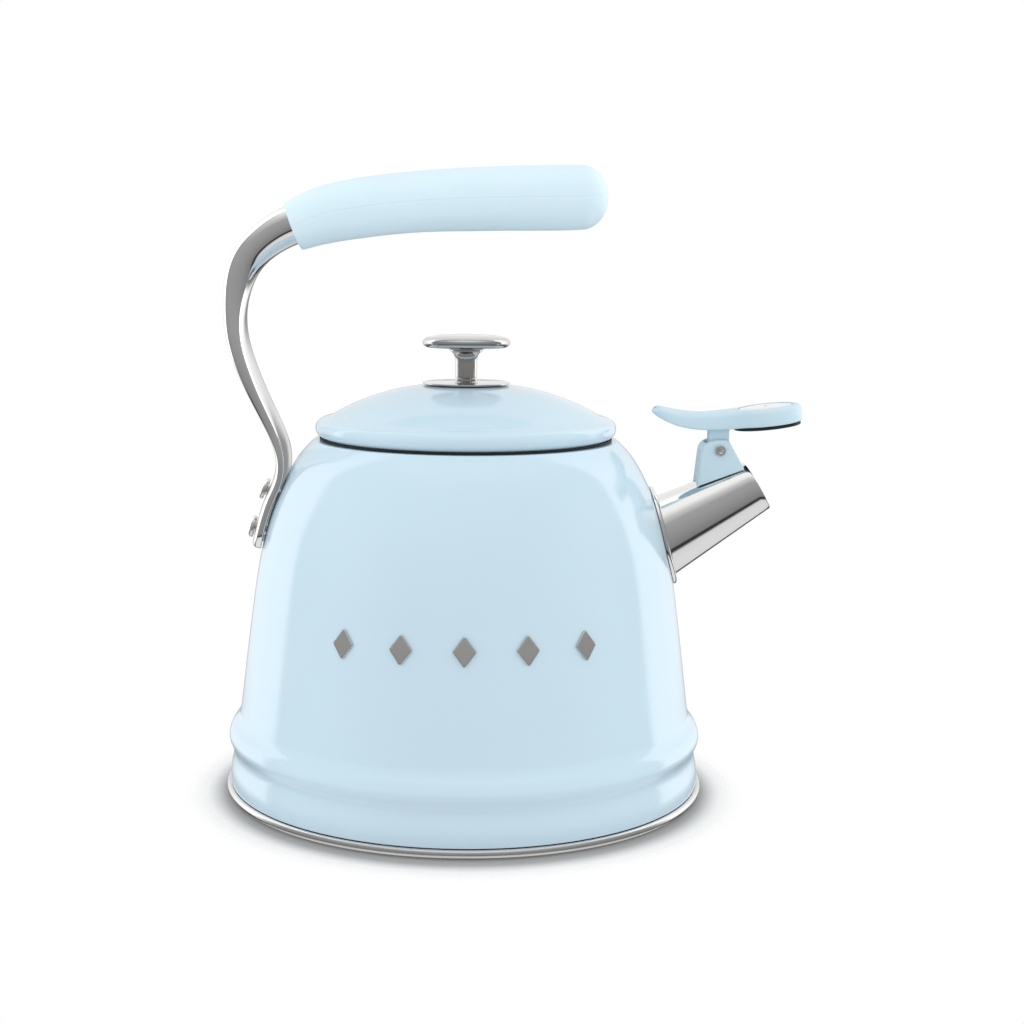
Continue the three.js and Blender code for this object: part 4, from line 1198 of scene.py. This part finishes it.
def bar_ring(place, way, thick, wide, bow, angles, groove=None):
    """Ring round the handle's line: an ellipse that squares up as it flattens, with its edges
    bowed towards the vessel by a distance."""
    x, z = place
    length_of = math.hypot(*way)
    up = (-way[1] / length_of, way[0] / length_of)
    power = 2 / min(max(2 + (wide / thick - 1) * 0.5, 2), 6)
    ring = []
    for angle in angles:
        c, s = math.cos(angle), math.sin(angle)
        depth = groove(angle) if groove else 0
        side = math.copysign(abs(c) ** power, c)
        lift = math.copysign(abs(s) ** power, s) * thick / 2 - bow * side * side
        ring.append((x + up[0] * lift, side * (wide / 2 - depth), z + up[1] * lift))
    return ring


def drawn_way(points, share):
    """Way of a drawn curve at a share along it."""
    a, b = max(share - 1e-4, 0), min(share + 1e-4, 1)
    return drawn(points, b) - drawn(points, a)


def handle_strap():
    """Steel bar of the handle, flattened and bowed where it lies on the wall."""
    strap_wide = size("strap_width")
    places = STRAP_PLACES + [(x, z) for x, z, _, _ in BAR_STATIONS]
    sizes = [(STRAP_THICK, strap_wide)] * len(STRAP_PLACES)
    sizes += [(thick, wide) for _, _, thick, wide in BAR_STATIONS]
    shares = np.linspace(0, 1, 400)
    line = np.array([drawn(places, share) for share in shares])
    run = np.concatenate([[0], np.cumsum(np.linalg.norm(np.diff(line, axis=0), axis=1))])
    ends = [0.02, 0.12, 0.3, 0.55, 0.85, 1.3, 1.9, 2.7, 3.6, 4.7, 6.0, 7.2]
    along = ends + list(np.arange(8.6, run[-1], 1.6)) + [run[-1]]
    wall_r, leaves_wall, turns_free = 73.8, 118.6, 40
    full_bow = (strap_wide / 2) ** 2 / (2 * wall_r)
    corner, edge = 7.0, 0.9
    angles = ring_angles(72)
    line, widths = eased(line, 160), eased([drawn(sizes, share) for share in shares], 160)
    ways = np.gradient(line, axis=0)
    rings = []
    for reach in along:
        share = float(np.interp(reach, run, shares))
        place, way, (thick, wide) = (
            np.array([np.interp(share, shares, column) for column in table.T])
            for table in (line, ways, widths))
        free = min(max((place[1] - leaves_wall) / turns_free, 0), 1)
        bow = full_bow * (1 - free * free * (3 - 2 * free))
        if reach < corner:
            wide -= 2 * (corner - math.sqrt(corner ** 2 - (corner - reach) ** 2))
        if reach < edge:
            thick -= 2 * (edge - math.sqrt(edge ** 2 - (edge - reach) ** 2)) * 0.9
        rings.append(bar_ring(place, way, thick, wide, bow, angles))
    return skin("handle_strap", rings)


def hand_grip():
    """Moulded grip with a parting line, hollow along the bar, closed by a rounded end."""
    widen, end_r, edge, hole_past = 1.06, 10.2, 0.7, 0.6
    line_deep, line_half, line_stop = 0.16, 1.3, 1.3
    angles = ring_angles(84, (-2.2, -line_half, -0.6, 0.6, line_half, 2.2))

    def groove(angle):
        """Depth of the parting line at an angle round the grip."""
        away = abs((math.degrees(angle) + 90) % 180 - 90)
        return line_deep * max(1 - away / line_half, 0) ** 0.7

    inside = [(x, z, thick + 2 * FIT) for x, z, thick, _ in BAR_STATIONS[-6:]]
    hole = [(x, z) for x, z, _ in inside]
    hole_sizes = [(thick, thick) for _, _, thick in inside]
    skin_line = [(x, z) for x, z, _ in GRIP_STATIONS]
    skin_sizes = [(high, high) for _, _, high in GRIP_STATIONS]
    start = drawn(skin_line, 0)
    start_way = drawn_way(skin_line, 0)
    start_way = start_way / np.linalg.norm(start_way)
    rings = []
    hole_way = drawn_way(hole, 1)
    beyond = drawn(hole, 1) + hole_way / np.linalg.norm(hole_way) * hole_past
    rings.append(bar_ring(beyond, hole_way, 14.6, 14.6, 0, angles))
    for share in np.linspace(1, 0, 40):
        place = drawn(hole, share)
        if np.dot(place - start, start_way) < 1.0:
            break
        high = drawn(hole_sizes, share)[0]
        rings.append(bar_ring(place, drawn_way(hole, share), high, high, 0, angles))
    mouth = 15.3 + 2 * FIT
    for grow, out in ((0, 0.5), (0.3, 0.12), (0.9, 0)):
        rings.append(bar_ring(start + start_way * out, start_way, mouth + grow, mouth + grow, 0,
                              angles))
    high = skin_sizes[0][0]
    for a in np.linspace(math.pi / 2, 0, 6)[:-1]:
        less = 2 * edge * (1 - math.cos(a))
        out = edge * (1 - math.sin(a))
        rings.append(bar_ring(start + start_way * out, start_way, high - less,
                              (high - less) * widen, 0, angles))
    for share in np.linspace(0.012, 1, 84):
        high = drawn(skin_sizes, share)[0]
        rings.append(bar_ring(drawn(skin_line, share), drawn_way(skin_line, share), high,
                              high * widen, 0, angles, groove))
    end, way = drawn(skin_line, 1), drawn_way(skin_line, 1)
    way = way / np.linalg.norm(way)
    for a in np.radians(np.linspace(6, 88, 22)):
        high = skin_sizes[-1][0] * math.cos(a)
        rings.append(bar_ring(end + way * end_r * math.sin(a), way, high, high * widen, 0,
                              angles, groove if a < line_stop else None))
    return skin("hand_grip", rings, sharp=50)


def button_rivet(which):
    """Rivet with a domed outer head and a flatter head inside the vessel."""
    place, way = RIVET_PLACES[which]
    r, shank_r, out_face, in_face = size("rivet_radius"), 2.2, 4.7, -3.9
    dome = [(r * math.cos(a) ** 0.7, out_face + 0.55 + 1.65 * math.sin(a))
            for a in np.linspace(0, math.pi / 2 - 0.02, 18)]
    outline = [(0, in_face - 1.6), (r - 1.6, in_face - 1.45, 1), (r - 0.6, in_face - 0.9, 0.6),
               (r - 0.5, in_face, 0.2), (shank_r, in_face), (shank_r, out_face),
               (r - 0.15, out_face), *dome, (0, out_face + 2.2)]
    turn = Matrix.Translation(Vector(place)) @ Vector(way).to_track_quat("Z", "Y").to_matrix(
        ).to_4x4()
    return turned(f"button_rivet_{which}", filleted(outline, 4, closed=False), 72, turn)


# ---- Stage ----

EVEN_LIGHT = 0.82
FRONT_STOPS = [(0.0, 0.95), (0.20, 0.80), (0.235, 0.05), (0.285, 0.03), (0.30, 0.24),
               (0.50, 0.33), (0.80, 0.42), (0.90, 0.70), (0.96, 1.1), (1.0, 1.1)]
WALL_STOPS = [(0.0, 2.2), (0.3, 2.2), (0.75, 1.4), (0.95, 1.0), (1.0, 1.0)]
FAR_GREY = (0.30, 0.30, 0.30, 1)
BODY_AIM = (0, 0, 0.11)
SOFT_BOXES = {
    "left box": ((-1.15, -0.30, 0.45), BODY_AIM, 0.8, 1.1, 3.9),
    "right box": ((1.15, -0.15, 0.45), BODY_AIM, 0.8, 1.1, 3.9),
    "overhead box": ((0, -0.15, 1.35), (0, 0, 0.1), 1.6, 1.3, 1.7),
    "front fill": ((0.1, -1.7, 0.5), BODY_AIM, 1.4, 0.9, 2.6)}
FLOOR_RADII = [0.2, 0.5, 1.0, 1.6, 2.4]
FLOOR_DROP = 0.0004
# Centre of the painted shadow on the floor, a little towards the front.
PAINTED_SHADOW_CENTRE = (0, -0.004, 0)


def soft_box(name, place, aim, wide, high, power):
    """Rectangular soft light aimed at a point, in metres and watts."""
    light = bpy.data.lights.new(name, "AREA")
    light.shape = "RECTANGLE"
    light.size, light.size_y = wide, high
    light.energy = power
    made = bpy.data.objects.new(name, light)
    made.location = place
    made.rotation_euler = (Vector(aim) - Vector(place)).to_track_quat("-Z", "Z").to_euler()
    bpy.context.collection.objects.link(made)
    made.visible_camera = False
    made.visible_glossy = False
    return made


def floor():
    """Round pale floor just under the base, with a painted shadow that darkens its colour beneath
    the kettle, and fading out close round it."""
    segments = 96
    points, faces = [(0, 0, 0)], []
    for radius in FLOOR_RADII:
        points += [(radius * math.cos(2 * math.pi * j / segments),
                    radius * math.sin(2 * math.pi * j / segments), 0) for j in range(segments)]
    for j in range(segments):
        faces.append((0, 1 + j, 1 + (j + 1) % segments))
    for ring in range(len(FLOOR_RADII) - 1):
        low, high = 1 + ring * segments, 1 + (ring + 1) * segments
        for j in range(segments):
            k = (j + 1) % segments
            faces.append((low + j, high + j, high + k, low + k))
    mesh = bpy.data.meshes.new("floor")
    mesh.from_pydata(points, [], faces)
    made = bpy.data.objects.new("floor", mesh)
    made.location.z = -FLOOR_DROP
    bpy.context.collection.objects.link(made)
    surface_of, tree, shader = new_material("Pale Floor With Painted Shadow")
    shader.inputs["Roughness"].default_value = 0.55
    shader.inputs["Specular IOR Level"].default_value = 0.2
    place = tree.nodes.new("ShaderNodeTexCoord")
    away = tree.nodes.new("ShaderNodeVectorMath")
    away.operation = "DISTANCE"
    away.inputs[1].default_value = PAINTED_SHADOW_CENTRE
    tree.links.new(place.outputs["Object"], away.inputs[0])
    # Painted shadow: the floor's colour darkens from 0.85 to 0.42 close round the base, centred a
    # little towards the front.
    tone = spread(tree, away.outputs["Value"], 0.094, 0.101, 0.42, 0.85)
    fade = spread(tree, away.outputs["Value"], 0.092, 0.111, 1, 0, smooth=True)
    tree.links.new(tone, shader.inputs["Base Color"])
    tree.links.new(fade, shader.inputs["Alpha"])
    mesh.materials.append(surface_of)
    made.visible_glossy = False


def surroundings():
    """White studio: even light for the colours, and for the gloss bright walls beside and
    behind the kettle, a grey room in front of it with a dark line where the floor ends, and a
    grey floor far behind."""
    world = bpy.data.worlds.new("studio")
    bpy.context.scene.world = world
    world.use_nodes = True
    tree = world.node_tree
    tree.nodes.clear()

    def linked(kind, **links):
        """A node with its named inputs linked."""
        made = tree.nodes.new(kind)
        for label, source in links.items():
            tree.links.new(source, made.inputs[label])
        return made

    def ramp(source, stops):
        """Greys that follow a value from stop to stop."""
        made = linked("ShaderNodeValToRGB", Fac=source)
        for place, _ in stops[1:-1]:
            made.color_ramp.elements.new(place)
        for element, (place, value) in zip(made.color_ramp.elements, stops):
            element.position = place
            element.color = (value, value, value, 1)
        return made.outputs["Color"]

    def where(*masks):
        """Product of two masks."""
        made = tree.nodes.new("ShaderNodeMath")
        made.operation = "MULTIPLY"
        for socket, mask in zip(made.inputs, masks):
            tree.links.new(mask, socket)
        return made.outputs[0]

    def blend(share, first, second):
        """One colour turned into another by a share."""
        made = tree.nodes.new("ShaderNodeMix")
        made.data_type = "RGBA"
        for place, source in ((0, share), (6, first), (7, second)):
            tree.links.new(source, made.inputs[place])
        return made.outputs[2]

    way = tree.nodes.new("ShaderNodeTexCoord").outputs["Generated"]
    parts = linked("ShaderNodeSeparateXYZ", Vector=way)
    up = parts.outputs["Z"]
    level = linked("ShaderNodeCombineXYZ", X=parts.outputs["X"], Y=parts.outputs["Y"])
    level = linked("ShaderNodeVectorMath", Vector=level.outputs[0])
    level.operation = "NORMALIZE"
    behind = linked("ShaderNodeSeparateXYZ", Vector=level.outputs[0]).outputs["Y"]
    front = ramp(spread(tree, up, -1, 1), FRONT_STOPS)
    walls = ramp(behind, WALL_STOPS)
    far_floor = tree.nodes.new("ShaderNodeRGB").outputs[0]
    far_floor.default_value = FAR_GREY
    wall_place = where(spread(tree, behind, 0.27, 0.34, smooth=True),
                       spread(tree, up, -0.34, -0.16, smooth=True))
    far_place = where(spread(tree, behind, 0.93, 0.99, smooth=True),
                      spread(tree, up, 0.06, -0.06, smooth=True))
    room = blend(far_place, blend(wall_place, front, walls), far_floor)

    path = tree.nodes.new("ShaderNodeLightPath").outputs
    gloss = linked("ShaderNodeBackground", Color=room)
    even = tree.nodes.new("ShaderNodeBackground")
    even.inputs["Color"].default_value = (*[EVEN_LIGHT] * 3, 1)
    seen = tree.nodes.new("ShaderNodeBackground")
    seen.inputs["Color"].default_value = (1, 1, 1, 1)
    last = even
    for asked, other in ((path["Is Glossy Ray"], gloss), (path["Is Camera Ray"], seen)):
        mix = linked("ShaderNodeMixShader", Fac=asked)
        tree.links.new(last.outputs[0], mix.inputs[1])
        tree.links.new(other.outputs[0], mix.inputs[2])
        last = mix
    linked("ShaderNodeOutputWorld", Surface=last.outputs[0])


def camera():
    """Camera a little above the lid, looking slightly down."""
    lens = bpy.data.cameras.new("camera")
    lens.lens = 60.35
    lens.sensor_width = 36
    lens.shift_x = 0.0456
    lens.clip_start = 0.01
    look_down, roll = 8.55, 0.355
    made = bpy.data.objects.new("camera", lens)
    made.matrix_world = (Matrix.Translation((0, -0.6661, 0.2085))
                         @ Matrix.Rotation(math.radians(90 - look_down), 4, "X")
                         @ Matrix.Rotation(math.radians(roll), 4, "Z"))
    bpy.context.collection.objects.link(made)
    bpy.context.scene.camera = made


def lights():
    """Tall soft boxes either side, a broad one overhead, and a fill from the front."""
    for name, values in SOFT_BOXES.items():
        soft_box(name, *values)


# ---- Operators ----

class KettlePiece:
    """What every piece's operator shares"""

    bl_options = {"REGISTER", "UNDO"}


class KETTLE_OT_vessel(KettlePiece, bpy.types.Operator):
    """Build the enamelled vessel"""

    bl_idname = "kettle.vessel"
    bl_label = "Vessel"

    def execute(self, context):
        belongs(vessel_shell(), "kettle", "body_shell", blue_enamel())
        return {"FINISHED"}


class KETTLE_OT_base(KettlePiece, bpy.types.Operator):
    """Build the steel base and finish the core inside it"""

    bl_idname = "kettle.base"
    bl_label = "Base"

    def execute(self, context):
        rim = surface("Rim Steel", polished_steel, stretch=(90, 90, 2500), finish="rim",
                      gloss=(0.24, 0.32))
        belongs(base_rim(), "kettle", "base_pan", rim)
        belongs(base_cover(), "kettle", "base_cap", turned_steel())
        finished_node("base_core", surface("Core Aluminium", cast_aluminium))
        return {"FINISHED"}


class KETTLE_OT_trim(KettlePiece, bpy.types.Operator):
    """Build the row of steel lozenges on the front of the wall"""

    bl_idname = "kettle.trim"
    bl_label = "Trim"

    def execute(self, context):
        metal = surface("Trim Steel", satin_steel, rings=400)
        middle = (TRIM_COUNT + 1) / 2
        for index in range(1, TRIM_COUNT + 1):
            turn = TRIM_PITCH * (index - middle)
            belongs(trim_lozenge(index, turn), "kettle", f"trim_stud_{index}",
                    metal)
        return {"FINISHED"}


class KETTLE_OT_lid(KettlePiece, bpy.types.Operator):
    """Build the lid, its liner and its seal"""

    bl_idname = "kettle.lid"
    bl_label = "Lid"

    def execute(self, context):
        belongs(lid_dome(), "lid", "lid_shell", blue_enamel())
        belongs(lid_liner(), "lid", "lid_pan", turned_steel())
        belongs(lid_seal(), "lid", "lid_gasket", seal_rubber())
        return {"FINISHED"}


class KETTLE_OT_knob(KettlePiece, bpy.types.Operator):
    """Build the lid's knob and finish the screw that holds it"""

    bl_idname = "kettle.knob"
    bl_label = "Knob"

    def execute(self, context):
        metal = surface("Knob Steel", polished_steel, stretch=(300, 300, 900), finish="chrome")
        belongs(knob_disc(), "lid", "knob_plate", metal)
        belongs(knob_ring(), "lid", "knob_collar", metal)
        belongs(knob_neck(), "lid", "knob_stem", metal)
        belongs(knob_top(), "lid", "knob_cap", metal)
        finished_node("knob_washer", turned_steel())
        finished_node("knob_screw", turned_steel())
        return {"FINISHED"}


class KETTLE_OT_spout(KettlePiece, bpy.types.Operator):
    """Build the spout and the collar round its foot"""

    bl_idname = "kettle.spout"
    bl_label = "Spout"

    def execute(self, context):
        belongs(spout_pipe(), "kettle", "spout_tube", mirror_steel())
        belongs(spout_collar(), "kettle", "spout_flange", mirror_steel())
        return {"FINISHED"}


class KETTLE_OT_bracket(KettlePiece, bpy.types.Operator):
    """Build the bracket on the spout and its pin"""

    bl_idname = "kettle.bracket"
    bl_label = "Bracket and pin"

    def execute(self, context):
        belongs(clevis(), "kettle", "whistle_bracket", blue_plastic())
        metal = surface("Pin Steel", satin_steel,
                        centre=[value * MM for value in PIVOT], axis=(0, 1, 0), rings=4000)
        belongs(hinge_pin(), "kettle", "pivot_pin", metal)
        return {"FINISHED"}


class KETTLE_OT_whistle(KettlePiece, bpy.types.Operator):
    """Build the hinged whistle: lever, inlay, plate and seal"""

    bl_idname = "kettle.whistle"
    bl_label = "Whistle"

    def execute(self, context):
        metal = surface("Inlay Steel", polished_steel, stretch=(700, 700, 700))
        belongs(whistle_arm(), "whistle", "whistle_lever", blue_plastic())
        belongs(whistle_cap(), "whistle", "whistle_inlay", metal)
        # Painted shade: the plate under the blow hole gets the near-black reed colour.
        dark = surface("Reed Steel", polished_steel, stretch=(700, 700, 700), finish="reed",
                       gloss=(0.3, 0.4))
        belongs(whistle_reed(), "whistle", "whistle_plate", dark)
        belongs(mouth_seal(), "whistle", "whistle_seal", seal_rubber())
        return {"FINISHED"}


class KETTLE_OT_handle(KettlePiece, bpy.types.Operator):
    """Build the handle's bar and its grip"""

    bl_idname = "kettle.handle"
    bl_label = "Handle"

    def execute(self, context):
        metal = surface("Handle Steel", polished_steel, stretch=(500, 900, 60))
        belongs(handle_strap(), "kettle", "handle_bar", metal)
        soft = surface("Grip Plastic", moulded_plastic, finish="grip")
        belongs(hand_grip(), "kettle", "grip", soft)
        return {"FINISHED"}


class KETTLE_OT_rivets(KettlePiece, bpy.types.Operator):
    """Build the two rivets and finish the plate behind them"""

    bl_idname = "kettle.rivets"
    bl_label = "Rivets"

    def execute(self, context):
        for which, (place, way) in RIVET_PLACES.items():
            metal = surface(f"Rivet Steel {which}", satin_steel,
                            centre=[value * MM for value in place], axis=way, rings=1500)
            belongs(button_rivet(which), "kettle", f"rivet_{which}", metal)
        finished_node("rivet_backing", turned_steel())
        return {"FINISHED"}


class KETTLE_OT_stage(KettlePiece, bpy.types.Operator):
    """Set the floor, the lights, the surroundings and the camera"""

    bl_idname = "kettle.stage"
    bl_label = "Stage"

    def execute(self, context):
        floor()
        surroundings()
        lights()
        camera()
        context.scene.view_settings.view_transform = "Standard"
        return {"FINISHED"}


class KETTLE_PT_pieces(bpy.types.Panel):
    """Kettle's settings and pieces"""

    bl_label = "Whistling Kettle"
    bl_space_type = "VIEW_3D"
    bl_region_type = "UI"
    bl_category = "Kettle"

    def draw(self, context):
        for group in (context.scene.kettle_sizes, context.scene.kettle_colours):
            column = self.layout.column(align=True)
            for name in group.__annotations__:
                column.prop(group, name)
        column = self.layout.column(align=True)
        for piece_class in PIECES:
            column.operator(piece_class.bl_idname)


PIECES = (KETTLE_OT_vessel, KETTLE_OT_base, KETTLE_OT_trim, KETTLE_OT_lid, KETTLE_OT_knob,
          KETTLE_OT_spout, KETTLE_OT_bracket, KETTLE_OT_whistle, KETTLE_OT_handle,
          KETTLE_OT_rivets, KETTLE_OT_stage)
CLASSES = (KettleSizes, KettleColours, *PIECES, KETTLE_PT_pieces)


def register():
    """Registers the settings, the operators and the panel."""
    for each in CLASSES:
        bpy.utils.register_class(each)
    bpy.types.Scene.kettle_sizes = PointerProperty(type=KettleSizes)
    bpy.types.Scene.kettle_colours = PointerProperty(type=KettleColours)


def unregister():
    """Takes away what register added."""
    del bpy.types.Scene.kettle_colours
    del bpy.types.Scene.kettle_sizes
    for each in reversed(CLASSES):
        bpy.utils.unregister_class(each)


def main():
    """Builds every piece in order."""
    register()
    bpy.ops.kettle.vessel()
    bpy.ops.kettle.base()
    bpy.ops.kettle.trim()
    bpy.ops.kettle.lid()
    bpy.ops.kettle.knob()
    bpy.ops.kettle.spout()
    bpy.ops.kettle.bracket()
    bpy.ops.kettle.whistle()
    bpy.ops.kettle.handle()
    bpy.ops.kettle.rivets()
    bpy.ops.kettle.stage()


if __name__ == "__main__":
    main()
